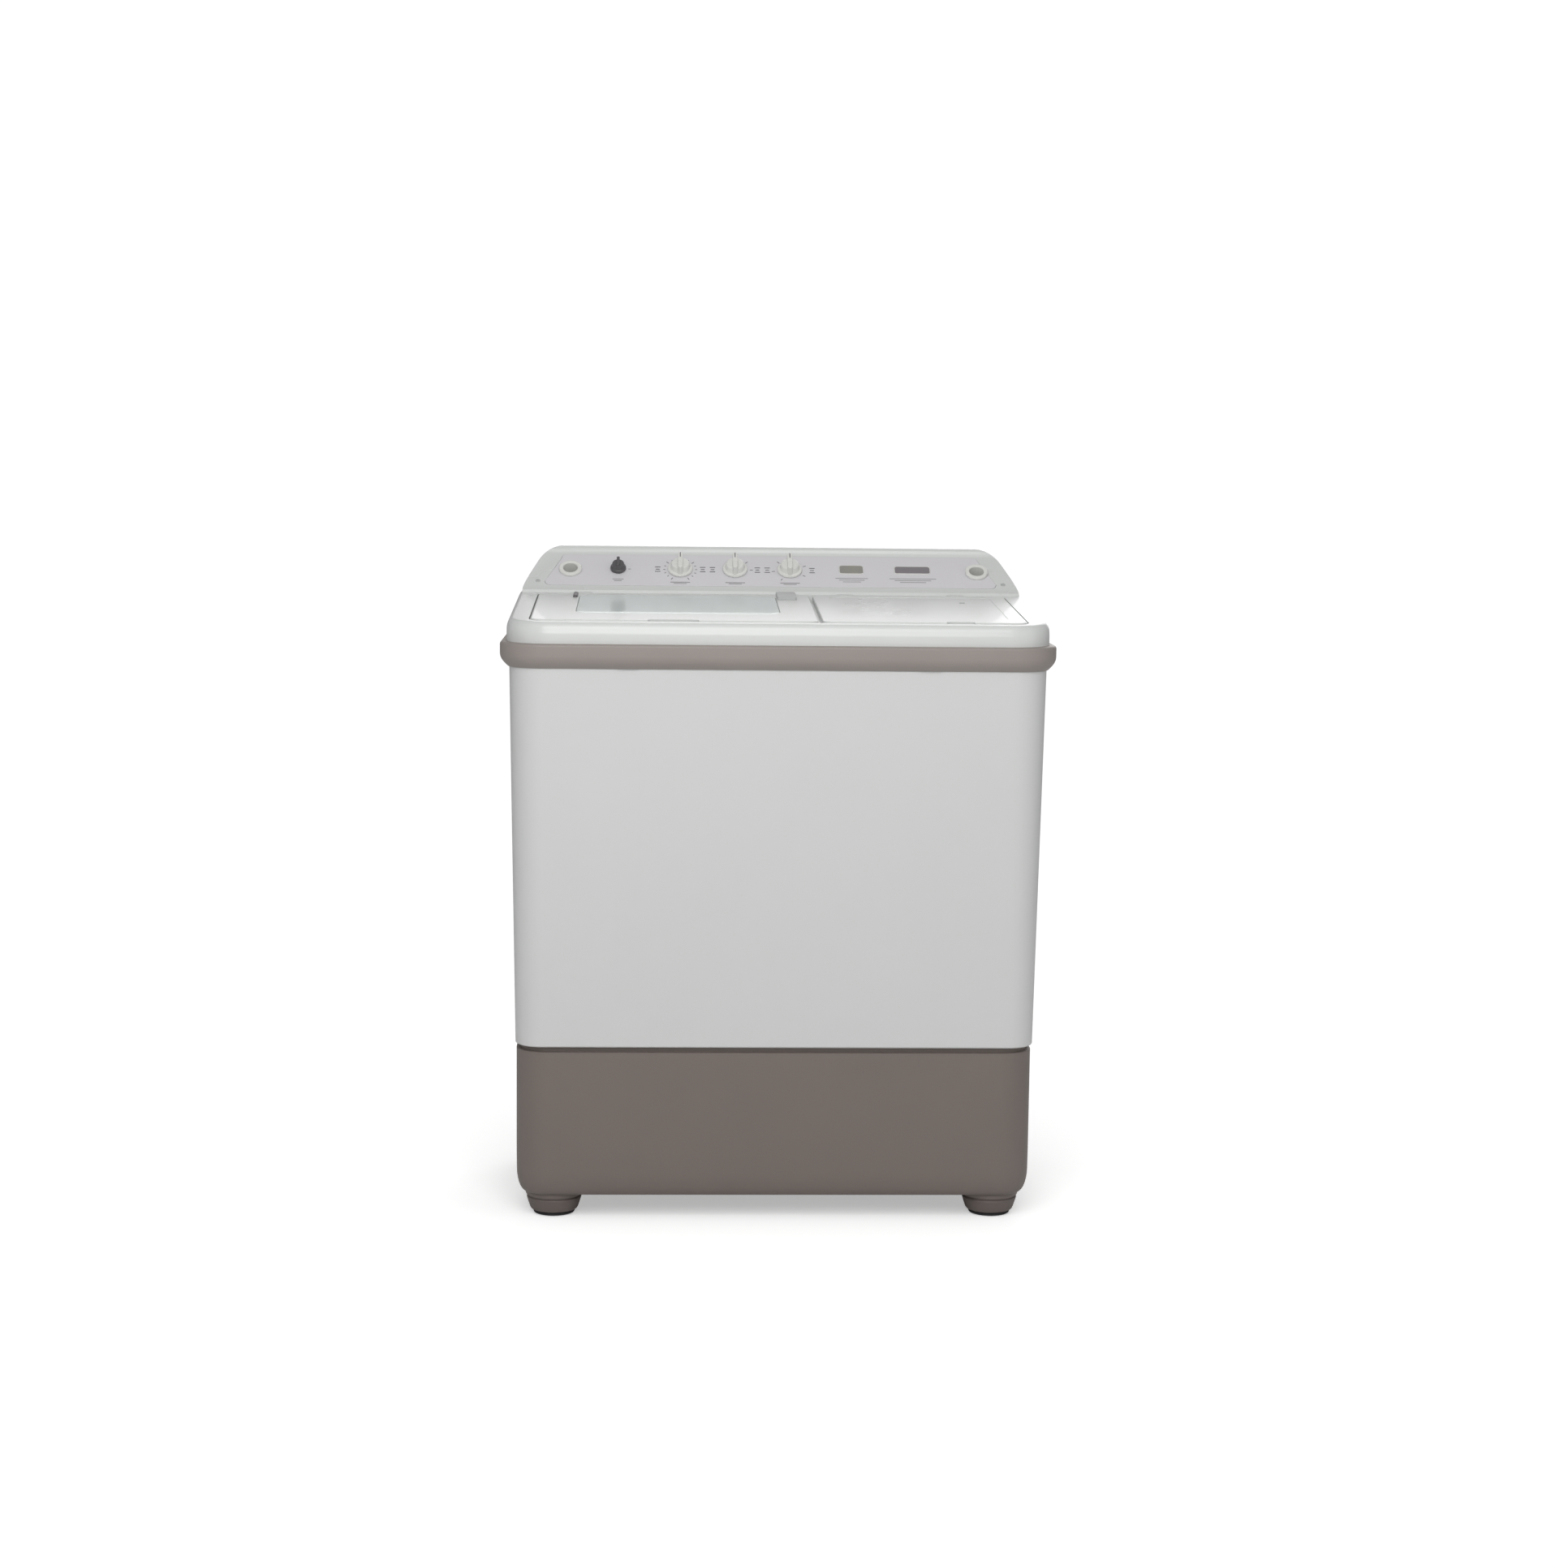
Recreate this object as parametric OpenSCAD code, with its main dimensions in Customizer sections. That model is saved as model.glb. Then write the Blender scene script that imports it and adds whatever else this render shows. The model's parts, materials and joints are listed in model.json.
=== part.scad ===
// Twin tub washing machine: a wash tub with a pulsator on the left and a spin basket on the right.
// X runs to the machine's right seen from the front, Y to the back, Z up. The origin is on the floor,
// under the middle of the trim band. Every size is in millimetres.

/* [Overall] */
// Width over the trim band
overall_w = 790; // [760:5:820]
// Depth over the trim band
overall_d = 460; // [450:5:480]
// Height of the base's underside above the floor
base_bottom = 36; // [34:1:42]

/* [Cabinet] */
// Wall thickness of the cabinet
cabinet_wall = 4; // [3:0.5:5]
// How far the cabinet widens from its bottom to its top, on each side
cabinet_draft = 9; // [6:1:10]
// Distance of the two pressed front grooves from the middle
groove_x = 212; // [190:1:225]
// Width of a pressed groove
groove_w = 28; // [16:1:32]

/* [Top deck] */
// Slope of the lids, rising towards the back
deck_slope = 3.5; // [3.2:0.1:3.7]
// Slope of the control panel
panel_slope = 37; // [36:0.5:38]
// How far the lids open
lid_travel = 98; // [80:1:98]

/* [Wash tub] */
// Inside width of the wash tub
wash_tub_w = 390; // [380:1:392]
// Inside depth of the wash tub, front to back
wash_tub_d = 318; // [300:1:320]
// Radius of the pulsator
pulsator_r = 140; // [120:1:144]

/* [Spin tub] */
// Inside radius of the spin tub
spin_tub_r = 140; // [136:1:142]
// Outside radius of the spin basket
basket_r = 118; // [110:1:122]
// Rows of drain holes in the basket
hole_rows = 5; // [3:1:6]
// Drain holes in each row
holes_per_row = 10; // [6:1:12]

/* [Drive] */
// Radius of the belt's inner side on the pulsator's pulley
big_pulley_r = 80; // [70:1:84]
// Radius of the belt's inner side on the motor's pulley
small_pulley_r = 24; // [20:1:26]

/* [Node] */
// The one node to draw, or all of them

/* [Hidden] */
$fn = 64;
eps = 0.01;

// Heights of the outer pieces
base_top = 248;
cabinet_bottom = 256;
cabinet_top = 815;
band_bottom = 799;
deck_bottom = 834;

// Footprints: each is width, depth and corner radius
band_plan = [overall_w, overall_d, 60];
cabinet_top_plan = [overall_w - 26, overall_d - 26, 48];
cabinet_bottom_plan = [cabinet_top_plan[0] - 2 * cabinet_draft, cabinet_top_plan[1] - 2 * cabinet_draft, 48];
base_plan = [cabinet_bottom_plan[0] - 2, cabinet_bottom_plan[1] - 10, 46];
base_sole_plan = [base_plan[0] - 26, base_plan[1] - 22, 38];
deck_plan = [overall_w - 18, overall_d - 16, 62];
front_draft = atan(cabinet_draft / (cabinet_top - cabinet_bottom));

// Feet
foot_x = 318;
foot_y = 146;
foot_top_r = 40;
foot_sole_r = 33;
foot_seat = base_bottom - 8;
foot_boss_r = 41;

// Centres of the two tubs
wash_c = [-150, -32];
spin_c = [212, -32];
tub_rim = 830;
wash_floor = 300;
spin_floor = 330;

// Lid deck: a sloped frame whose origin is the middle of the deck's front edge
deck_origin = [0, -205, 866];
lid_y0 = 8;
lid_y1 = 329;
lid_t = 4;
lid_drop = 8;
hinge_y = 336.5;
hinge_z = -4.5;
lug_w = 24;
wash_lid_x = [-352, 55];
spin_lid_x = [61, 352];
wash_hinge_x = [-285, 24];
spin_hinge_x = [112, 281];
window_x = [-290, 4];
window_y = [84, 300];

// Control panel: a steeper frame whose origin is the middle of the panel's lower edge
panel_origin = [0, 146, 894];
panel_y = [3.5, 76.5];
knob_y = 42;
wash_timer_x = -139;
selector_x = -55;
spin_timer_x = 29;
water_selector_x = -234;
label_x = 124;
badge_x = 218;
inlet_x = [-307, 317];
inlet_y = 40;

// Drives under the tubs
wash_motor_c = [-290, 70];
pulley_z = 150;
pulley_h = 18;
drain_c = [-42, 106];
brake_pivot = [74, 22];

shell_white = [0.80, 0.81, 0.80];
cabinet_grey = [0.79, 0.79, 0.79];
taupe = [0.44, 0.40, 0.38];
foot_brown = [0.38, 0.34, 0.33];

// ---------- shared shapes ----------

// Rounded rectangle of a plan [width, depth, corner radius], shrunk by inset on every side
module plan_2d(plan, inset = 0) {
    w = plan[0] - 2 * inset;
    d = plan[1] - 2 * inset;
    r = max(plan[2] - inset, 1);
    square([w - 2 * r, d], center = true);
    square([w, d - 2 * r], center = true);
    for (sx = [-1, 1], sy = [-1, 1]) translate([sx * (w / 2 - r), sy * (d / 2 - r)]) circle(r);
}

module plan_slab(plan, inset, z, h) translate([0, 0, z]) linear_extrude(h) plan_2d(plan, inset);

// The four corner columns of a plan, for use inside hull()
module plan_posts(plan, inset, z, h) {
    r = max(plan[2] - inset, 1);
    for (sx = [-1, 1], sy = [-1, 1])
        translate([sx * (plan[0] / 2 - inset - r), sy * (plan[1] / 2 - inset - r), z])
            cylinder(r = r, h = h, $fn = 32);
}

module tube(r_out, r_in, z, h) translate([0, 0, z]) difference() {
    cylinder(r = r_out, h = h);
    translate([0, 0, -1]) cylinder(r = r_in, h = h + 2);
}

// Round bar between two points
module bar(a, b, r) {
    v = b - a;
    translate(a) rotate([0, acos(v[2] / norm(v)), atan2(v[1], v[0])]) cylinder(r = r, h = norm(v));
}

module on_deck() translate(deck_origin) rotate([deck_slope, 0, 0]) children();
module on_panel() translate(panel_origin) rotate([panel_slope, 0, 0]) children();
module at(p) translate([p[0], p[1], 0]) children();

// Box in a sloped frame from its low and high corners
module span_box(lo, hi) translate(lo) cube(hi - lo);

// ---------- base and feet ----------

module base() color(taupe) {
    wall = 3;
    gap_plan = [base_plan[0] - 12, base_plan[1] - 12, 40];
    difference() {
        union() {
            difference() {
                hull() {
                    plan_posts(base_sole_plan, 0, base_bottom, 1);
                    plan_posts(base_plan, 0.5, base_bottom + 32, 1);
                    plan_posts(base_plan, 0, base_top - 1, 1);
                }
                hull() {
                    plan_posts(base_sole_plan, wall, base_bottom + 4, 1);
                    plan_posts(base_plan, wall + 0.5, base_bottom + 34, 1);
                    plan_posts(base_plan, wall, base_top + 1, 1);
                }
            }
            difference() {
                union() {
                    plan_slab(base_plan, 1, base_top - 4, 4);
                    plan_slab(gap_plan, 0, base_top - 4, cabinet_bottom - base_top + 4);
                }
                plan_slab(gap_plan, 7, base_top - 5, 20);
            }
            for (sx = [-1, 1], sy = [-1, 1])
                translate([sx * foot_x, sy * foot_y, foot_seat])
                    cylinder(r1 = foot_boss_r, r2 = foot_boss_r + 2, h = base_bottom - foot_seat + 1);
        }
        for (sx = [-1, 1], sy = [-1, 1])
            translate([sx * foot_x, sy * foot_y, foot_seat - 1]) cylinder(r = 6.5, h = 20);
        translate([drain_c[0], 180, 76]) rotate([-90, 0, 0]) cylinder(r = 15.5, h = 40);
        translate([250, 180, 110]) rotate([-90, 0, 0]) cylinder(r = 9, h = 40);
    }
}

module feet() color(foot_brown) for (sx = [-1, 1], sy = [-1, 1]) translate([sx * foot_x, sy * foot_y, 0])
    rotate_extrude() polygon([[0, 12], [23, 12], [23, 6], [foot_sole_r, 6], [foot_sole_r + 1.5, 9],
        [foot_top_r, foot_seat - 3], [foot_top_r - 2, foot_seat - 3], [foot_top_r - 2, foot_seat],
        [6, foot_seat], [6, foot_seat + 18], [0, foot_seat + 18]]);

module foot_pads() color([0.12, 0.12, 0.12]) for (sx = [-1, 1], sy = [-1, 1])
    translate([sx * foot_x, sy * foot_y, 0]) {
        cylinder(r = foot_sole_r - 2, h = 6);
        cylinder(r = 22.5, h = 11.5);
    }

// ---------- cabinet ----------

// Local frame on the outside of the front (side = -1) or back (side = 1) wall, z up the wall
module on_wall(side) translate([0, side * cabinet_bottom_plan[1] / 2, cabinet_bottom])
    rotate([-side * front_draft, 0, 0]) children();

module cabinet() color(cabinet_grey) difference() {
    union() {
        difference() {
            hull() {
                plan_posts(cabinet_bottom_plan, 0, cabinet_bottom, 0.01);
                plan_posts(cabinet_top_plan, 0, cabinet_top - 0.01, 0.01);
            }
            hull() {
                plan_posts(cabinet_bottom_plan, cabinet_wall, cabinet_bottom - 1, 0.01);
                plan_posts(cabinet_top_plan, cabinet_wall, cabinet_top + 1, 0.01);
            }
        }
        difference() {
            plan_slab(cabinet_bottom_plan, 1, cabinet_bottom, 4);
            plan_slab(base_plan, 15, cabinet_bottom - 1, 6);
        }
    }
    for (s = [-1, 1]) on_wall(-1) translate([s * groove_x - groove_w / 2, -3, 46]) cube([groove_w, 4.4, 600]);
    on_wall(1) span_box([-150, -12, 40], [150, 5, 330]);
}

module rear_cover() color(cabinet_grey) on_wall(1) difference() {
    union() {
        span_box([-165, 0.1, 25], [165, 3, 345]);
        for (i = [0 : 5]) span_box([-90, 3, 220 + 18 * i], [90, 4.5, 226 + 18 * i]);
    }
    for (p = cover_screws) translate([p[0], -1, p[1]]) rotate([-90, 0, 0]) cylinder(r = 2.2, h = 6);
}

cover_screws = [for (x = [-158, 158], z = [34, 185, 336]) [x, z]];

module rear_cover_screws() color([0.7, 0.7, 0.72]) on_wall(1) for (p = cover_screws)
    translate([p[0], 0, p[1]]) rotate([-90, 0, 0]) {
        translate([0, 0, 0.2]) cylinder(r = 2, h = 4);
        translate([0, 0, 3.1]) cylinder(r = 4.2, h = 2.2);
    }

module trim_band() color(taupe) difference() {
    hull() {
        plan_posts(cabinet_top_plan, -2, band_bottom, 0.5);
        plan_posts(band_plan, 1, band_bottom + 13, 0.5);
        plan_posts(band_plan, 0, band_bottom + 18, 12);
        plan_posts(band_plan, 2, deck_bottom - 0.5, 0.5);
    }
    plan_slab(cabinet_top_plan, -0.6, band_bottom - 1, cabinet_top - band_bottom + 1);
    plan_slab(cabinet_top_plan, 10, band_bottom, 60);
}

// ---------- top deck ----------

// The console starts here; the tray ends here
console_y = 138;
deck_thickness = 12;
wash_mouth = [372, 300, 44];
spin_mouth_r = 128;

shoulder = [316, 905.6];
shoulder_r = 48;
shoulder_angle = 38;

// Front view of the console, with round shoulders; inset shrinks it
function console_front(inset) = let (r = shoulder_r - inset,
        half = [for (a = [90 : -6.5 : shoulder_angle]) shoulder + r * [cos(a), sin(a)]],
        foot = shoulder + r * [cos(shoulder_angle), sin(shoulder_angle)]
            + 75 * [sin(shoulder_angle), -cos(shoulder_angle)])
    concat([[-foot[0], 800], [-foot[0], foot[1]]],
        [for (i = [len(half) - 1 : -1 : 0]) [-half[i][0], half[i][1]]],
        half, [foot, [foot[0], 800]]);

console_side = [[138, 840], [138, 889], [146, 894], [209.9, 942.1], [211.5, 948], [214, 952], [217, 953.6],
    [220, 952.2], [222, 948], [222, 840]];
console_side_inner = [[126, 830], [126, 868], [141, 870], [149, 888], [209.5, 934], [213, 945], [218, 945],
    [218, 830]];

module console(side, inset) intersection() {
    translate([-400, 0, 0]) rotate([90, 0, 90]) linear_extrude(800) polygon(side);
    translate([0, 230, 0]) rotate([90, 0, 0]) linear_extrude(300) polygon(console_front(inset));
    plan_slab(deck_plan, inset, 820, 150);
}

module panel_outline(grow = 0) hull() for (s = [-1, 1]) {
    translate([s * 336, panel_y[0] + 9]) circle(9 + grow, $fn = 32);
    translate([s * 312, panel_y[1] - 9]) circle(9 + grow, $fn = 32);
}

module hinge_pocket(x) on_deck() {
    span_box([x - lug_w / 2 - 1, lid_y1 - 2, -10], [x + lug_w / 2 + 1, hinge_y + 5.3, 6]);
    translate([x - 21, hinge_y, hinge_z]) rotate([0, 90, 0]) cylinder(r = 2.56, h = 42);
}

// Lid tray and console in one shape, hollow from below, before it is parted at console_y
module deck_shape() difference() {
    union() {
        difference() {
            union() {
                hull() {
                    plan_posts(deck_plan, 0, deck_bottom, 13);
                    on_deck() translate([0, 207.5, 0]) plan_posts([752, 426, 50], 0, -1, 1);
                }
                console(console_side, 0);
            }
            on_deck() translate([0, 168.5, -lid_drop]) linear_extrude(20) plan_2d([708, 325, 20]);
            hull() {
                plan_posts(deck_plan, 4, deck_bottom - 1, 13);
                on_deck() translate([0, 207.5, 0]) plan_posts([738, 412, 44], 0, -deck_thickness - 2, 2);
            }
            console(console_side_inner, 4);
        }
        deck_skirt();
    }
    for (x = concat(wash_hinge_x, spin_hinge_x)) hinge_pocket(x);
}

// The deck's inner skirt, which drops inside the trim band
module deck_skirt() difference() {
    union() {
        plan_slab(cabinet_top_plan, 10.4, cabinet_top + 4, deck_bottom - cabinet_top - 2);
        plan_slab(deck_plan, 1, deck_bottom, 3);
    }
    plan_slab(cabinet_top_plan, 13, cabinet_top, 40);
}

module tub_mouths() {
    at(wash_c) plan_slab(wash_mouth, 0, tub_rim - 15, 100);
    at(spin_c) translate([0, 0, tub_rim - 15]) cylinder(r = spin_mouth_r, h = 100);
}

// Passages for the two water spouts
module spout_gaps() {
    span_box([-208, 110, 840], [-172, 145, 858]);
    span_box([194, 85, 840], [230, 125, 858]);
}

// Tray that the lids lie in, with a mouth over each tub
module top_deck() color(shell_white) difference() {
    deck_shape();
    tub_mouths();
    span_box([-400, console_y - 0.1, 800], [400, 240, 1000]);
}

// Housing behind the lids that carries the panel
module rear_console() color(shell_white) difference() {
    deck_shape();
    span_box([-400, -240, 800], [400, console_y + 0.1, 1000]);
    spout_gaps();
    on_panel() {
        translate([0, 0, -2.5]) linear_extrude(12) panel_outline(0.4);
        span_box([-270, 12, -20], [270, 68, 1]);
        for (x = inlet_x) translate([x, inlet_y, -40]) cylinder(r = 15, h = 45);
    }
}

// Rings that close the gap between each tub's rim and the tray; each has a lip inside its tub
module splash_rings() color(shell_white) difference() {
    union() {
        at(wash_c) {
            plan_slab([wash_mouth[0] + 30, wash_mouth[1] + 24, 60], 0, tub_rim, 60);
            plan_slab([wash_mouth[0] + 12, wash_mouth[1] + 12, 50], 0, tub_rim - 10, 20);
        }
        at(spin_c) {
            translate([0, 0, tub_rim]) cylinder(r = spin_mouth_r + 18, h = 60);
            translate([0, 0, tub_rim - 8]) cylinder(r = spin_mouth_r + 5, h = 20);
        }
    }
    on_deck() span_box([-400, -20, -deck_thickness - 0.1], [400, 460, 90]);
    tub_mouths();
    spout_gaps();
}

module control_panel() color([0.81, 0.80, 0.81]) on_panel() difference() {
    translate([0, 0, -2.5]) linear_extrude(3) panel_outline();
    for (x = [wash_timer_x, selector_x, spin_timer_x, water_selector_x])
        translate([x, knob_y, -5]) cylinder(r = 4.5, h = 10);
    for (x = inlet_x) translate([x, inlet_y, -5]) cylinder(r = 13.8, h = 10);
}

module badge() color([0.33, 0.32, 0.33]) on_panel() {
    translate([badge_x, 44, 0.5]) linear_extrude(1.6) plan_2d([54, 16, 7.9]);
    translate([label_x, 44, 0.5]) linear_extrude(1.6) plan_2d([38, 16, 7.9]);
}

module inlet_ports() color([0.86, 0.86, 0.86]) on_panel() for (x = inlet_x) translate([x, inlet_y, 0]) {
    tube(17.5, 11, 0.5, 4.5);
    tube(13.3, 11, -28, 28.5);
}

// Ducts under the panel, from each inlet port to its tub
module inlet_ducts() color([0.85, 0.85, 0.86]) {
    inlet_duct(inlet_x[0], [-328, -172], [-206, 124]);
    inlet_duct(inlet_x[1], [196, 336], [196, 107.5]);
}

module inlet_duct(port_x, reach, spout) difference() {
    union() {
        span_box([reach[0], 158, 850], [reach[1], 210, 874]);
        span_box([port_x - 18, 180, 872], [port_x + 18, 210, 890]);
        on_panel() translate([port_x, inlet_y, -34]) cylinder(r = 16.5, h = 16);
        span_box([spout[0], spout[1], 841], [spout[0] + 32, 160, 857]);
    }
    span_box([reach[0] + 2, 160, 852], [reach[1] - 2, 208, 872]);
    translate([port_x, 196, 860]) cylinder(r = 10, h = 36);
    on_panel() translate([port_x, inlet_y, -32]) cylinder(r = 13.4, h = 20);
    span_box([spout[0] + 2, spout[1] - 1, 843], [spout[0] + 30, 161, 855]);
}

// ---------- lids ----------

module lid_blank(x0, x1) {
    w = x1 - x0;
    mid = [(x0 + x1) / 2, (lid_y0 + lid_y1) / 2];
    difference() {
        translate([mid[0], mid[1], -lid_drop + 0.4]) linear_extrude(lid_drop - 0.4)
            plan_2d([w, lid_y1 - lid_y0, 16]);
        translate([mid[0], mid[1], -lid_drop - 1]) linear_extrude(lid_drop + 1 - lid_t)
            plan_2d([w - 6, lid_y1 - lid_y0 - 6, 13]);
    }
}

module lid_lug(x) difference() {
    union() {
        translate([x - lug_w / 2, hinge_y, hinge_z]) rotate([0, 90, 0]) cylinder(r = 4.3, h = lug_w);
        span_box([x - lug_w / 2, lid_y1 - 4, -7.4], [x + lug_w / 2, hinge_y, -0.2]);
    }
    translate([x - lug_w, hinge_y, hinge_z]) rotate([0, 90, 0]) cylinder(r = 2.5, h = 2 * lug_w);
}

module lid_pins(xs) color([0.7, 0.7, 0.72]) on_deck() for (x = xs)
    translate([x - 19, hinge_y, hinge_z]) rotate([0, 90, 0]) cylinder(r = 2.5, h = 38);

module wash_lid() color(shell_white) on_deck() {
    win = [window_x[1] - window_x[0], window_y[1] - window_y[0], 24];
    mid = [(window_x[0] + window_x[1]) / 2, (window_y[0] + window_y[1]) / 2];
    difference() {
        union() {
            lid_blank(wash_lid_x[0], wash_lid_x[1]);
            translate([mid[0], mid[1], -7]) linear_extrude(4) plan_2d(win, -6);
        }
        translate([mid[0], mid[1], -3]) linear_extrude(10) plan_2d(win, 0);
        translate([mid[0], mid[1], -20]) linear_extrude(30) plan_2d(win, 5);
        span_box([-190, lid_y0 - 5, -20], [-110, lid_y0 + 14, -1.2]);
        span_box([-186, lid_y0 - 5, -20], [-114, lid_y0 + 9, 5]);
    }
    for (x = wash_hinge_x) lid_lug(x);
}

module wash_lid_window() color([0.70, 0.86, 0.86, 0.45]) on_deck() {
    win = [window_x[1] - window_x[0], window_y[1] - window_y[0], 24];
    translate([(window_x[0] + window_x[1]) / 2, (window_y[0] + window_y[1]) / 2, -3])
        linear_extrude(3.4) plan_2d(win, 0.4);
}

module spin_lid() color(shell_white) on_deck() {
    difference() {
        lid_blank(spin_lid_x[0], spin_lid_x[1]);
        span_box([236, lid_y0 - 5, -20], [276, lid_y0 + 9, 5]);
    }
    span_box([166, lid_y1 - 3.2, -7.6], [232, lid_y1 - 1, -4]);
    for (x = spin_hinge_x) lid_lug(x);
}

// ---------- controls ----------

module knob(x, r) color([0.84, 0.84, 0.83]) on_panel() translate([x, knob_y, 0]) difference() {
    union() {
        rotate_extrude() polygon([[0, 1.5], [r, 1.5], [r, 4], [r - 1, 5.5], [r - 3.5, 6.5], [r - 4.5, 14],
            [r - 6, 15.5], [0, 15.5]]);
        span_box([-3.5, -r + 1.5, 5], [3.5, r - 1.5, 20]);
    }
    translate([0, 0, 0]) cylinder(r = 3, h = 12);
}

// The small dark knob that sends the water to the wash tub or the spin tub
module water_selector_knob() color([0.20, 0.20, 0.21]) on_panel() translate([water_selector_x, knob_y, 0]) {
    difference() {
        rotate_extrude() polygon([[0, 1.5], [12, 1.5], [12, 4], [11, 6], [9.5, 13], [8, 14], [0, 14]]);
        cylinder(r = 3, h = 10);
    }
    translate([0, 0, -20]) cylinder(r = 3, h = 30);
}

module control_shaft(x) color([0.72, 0.72, 0.74]) on_panel() translate([x, knob_y, -20])
    cylinder(r = 3, h = 32);

// Clockwork timer or switch body, hung from the panel's back on two posts
module control_body(x, w, tint) color(tint) on_panel() difference() {
    union() {
        span_box([x - w / 2, 24, -34], [x + w / 2, 60, -8]);
        for (s = [-1, 1]) translate([x + s * (w / 2 - 6), knob_y, -9]) cylinder(r = 4, h = 6.5);
    }
    translate([x, knob_y, -22]) cylinder(r = 3.05, h = 20);
}

// ---------- wash tub ----------

module wash_tub() color([0.88, 0.89, 0.90]) at(wash_c) {
    plan = [wash_tub_w + 6, wash_tub_d + 6, 60];
    difference() {
        union() {
            plan_slab(plan, 0, wash_floor - 3, tub_rim - wash_floor + 3);
            plan_slab(plan, -8, tub_rim - 6, 6);
            translate([0, 0, wash_floor - 25]) cylinder(r = pulsator_r + 11, h = 25);
        }
        plan_slab(plan, 3, wash_floor, 600);
        translate([0, 0, wash_floor - 22]) cylinder(r = pulsator_r + 8, h = 30);
        translate([0, 0, wash_floor - 40]) cylinder(r = 22, h = 50);
        translate([drain_c[0] - wash_c[0], drain_c[1] - wash_c[1], wash_floor - 10]) cylinder(r = 13, h = 20);
    }
}

module overflow_cover() color([0.80, 0.84, 0.88]) difference() {
    back = wash_c[1] + wash_tub_d / 2 - 0.2;
    x = drain_c[0];
    span_box([x - 30, 88, wash_floor + 0.2], [x + 30, back, 780]);
    span_box([x - 27, 91, wash_floor - 5], [x + 27, back + 5, 777]);
    for (i = [-2 : 2]) span_box([x - 2.5 + 10 * i, 80, 310], [x + 2.5 + 10 * i, 95, 370]);
    for (i = [0 : 3]) span_box([x - 20, 80, 700 + 14 * i], [x + 20, 95, 706 + 14 * i]);
}

module filter_rail() color([0.80, 0.84, 0.88]) for (x = [-232, -146])
    difference() {
        span_box([x - 8, 116, 540], [x + 8, wash_c[1] + wash_tub_d / 2 - 0.2, 700]);
        translate([x < -200 ? x + 3 : x - 9, 119, 546]) cube([6, 8, 160]);
    }

module lint_filter() color([0.35, 0.62, 0.78]) {
    difference() {
        span_box([-228.4, 119.4, 546.4], [-149.6, 126.4, 694]);
        span_box([-220, 118, 556], [-158, 128, 684]);
    }
    span_box([-220, 121.5, 556], [-158, 124, 684]);
    span_box([-216, 100, 560], [-162, 121.5, 660]);
}

module pulsator() color([0.30, 0.55, 0.75]) at(wash_c) difference() {
    union() {
        rotate_extrude() polygon([[0, 282], [pulsator_r - 6, 282], [pulsator_r, 286], [pulsator_r, 292],
            [pulsator_r - 4, 294], [90, 297], [46, 306], [26, 312], [0, 312]]);
        for (i = [0 : 5]) rotate(60 * i + 15) translate([28, 0, 290]) rotate([90, 0, 90])
            linear_extrude(pulsator_r - 40)
                polygon([[-14, 0], [-9, 14], [-4, 22], [0, 24], [4, 22], [9, 14], [14, 0]]);
        rotate_extrude() polygon([[0, 300], [26, 300], [26, 314], [20, 318], [8, 318], [8, 314], [0, 314]]);
    }
    translate([0, 0, 270]) cylinder(r = 7, h = 38);
    translate([0, 0, 300]) cylinder(r = 2.5, h = 30);
    for (i = [0 : 11]) rotate(30 * i) translate([118, 0, 270]) cylinder(r = 3, h = 40);
}

module pulsator_screw() color([0.75, 0.75, 0.77]) at(wash_c) {
    translate([0, 0, 308]) cylinder(r = 2.5, h = 7);
    translate([0, 0, 314]) cylinder(r = 7, h = 4);
}

module pulsator_shaft() color([0.72, 0.72, 0.74]) at(wash_c)
    translate([0, 0, pulley_z - 6]) cylinder(r = 7, h = 308 - pulley_z + 6);

module wash_bearing_housing() color([0.62, 0.63, 0.64]) at(wash_c) {
    tube(21.9, 7.05, 186, 90);
    tube(58, 21.5, 264, 11);
    for (i = [0 : 3]) rotate(45 + 90 * i) span_box([21, -3, 215], [50, 3, 264]);
}

module wash_seal() color([0.10, 0.10, 0.11]) at(wash_c) tube(20, 7.4, 276, 5.5);

// Pulley with a straight groove for the belt
module pulley(r, z, bore) rotate_extrude() polygon([[bore, z], [r + 7, z], [r + 7, z + 3.8],
    [r - 3.8, z + 3.8], [r - 3.8, z + pulley_h - 3.8], [r + 7, z + pulley_h - 3.8], [r + 7, z + pulley_h],
    [bore, z + pulley_h]]);

module wash_pulley() color([0.68, 0.69, 0.70]) at(wash_c) difference() {
    pulley(big_pulley_r, pulley_z, 7);
    for (i = [0 : 5]) rotate(60 * i) translate([44, 0, pulley_z - 5]) cylinder(r = 14, h = 40);
}

module drive_belt() color([0.09, 0.09, 0.10]) translate([0, 0, pulley_z + 4.5]) linear_extrude(9)
    difference() {
        hull() {
            at(wash_c) circle(big_pulley_r + 5);
            at(wash_motor_c) circle(small_pulley_r + 5);
        }
        hull() {
            at(wash_c) circle(big_pulley_r - 3);
            at(wash_motor_c) circle(small_pulley_r - 3);
        }
    }

module wash_motor() color([0.60, 0.61, 0.62]) at(wash_motor_c) difference() {
    union() {
        plan_slab([118, 118, 20], 0, 182, 3);
        translate([0, 0, 185]) cylinder(r = 56, h = 70);
        translate([0, 0, 255]) cylinder(r1 = 56, r2 = 40, h = 9);
        translate([0, 0, 178]) cylinder(r = 16, h = 5);
    }
    translate([0, 0, 170]) cylinder(r = 6.05, h = 40);
    for (sx = [-1, 1], sy = [-1, 1]) translate([sx * 48, sy * 48, 180]) cylinder(r = 3.2, h = 10);
}

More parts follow.
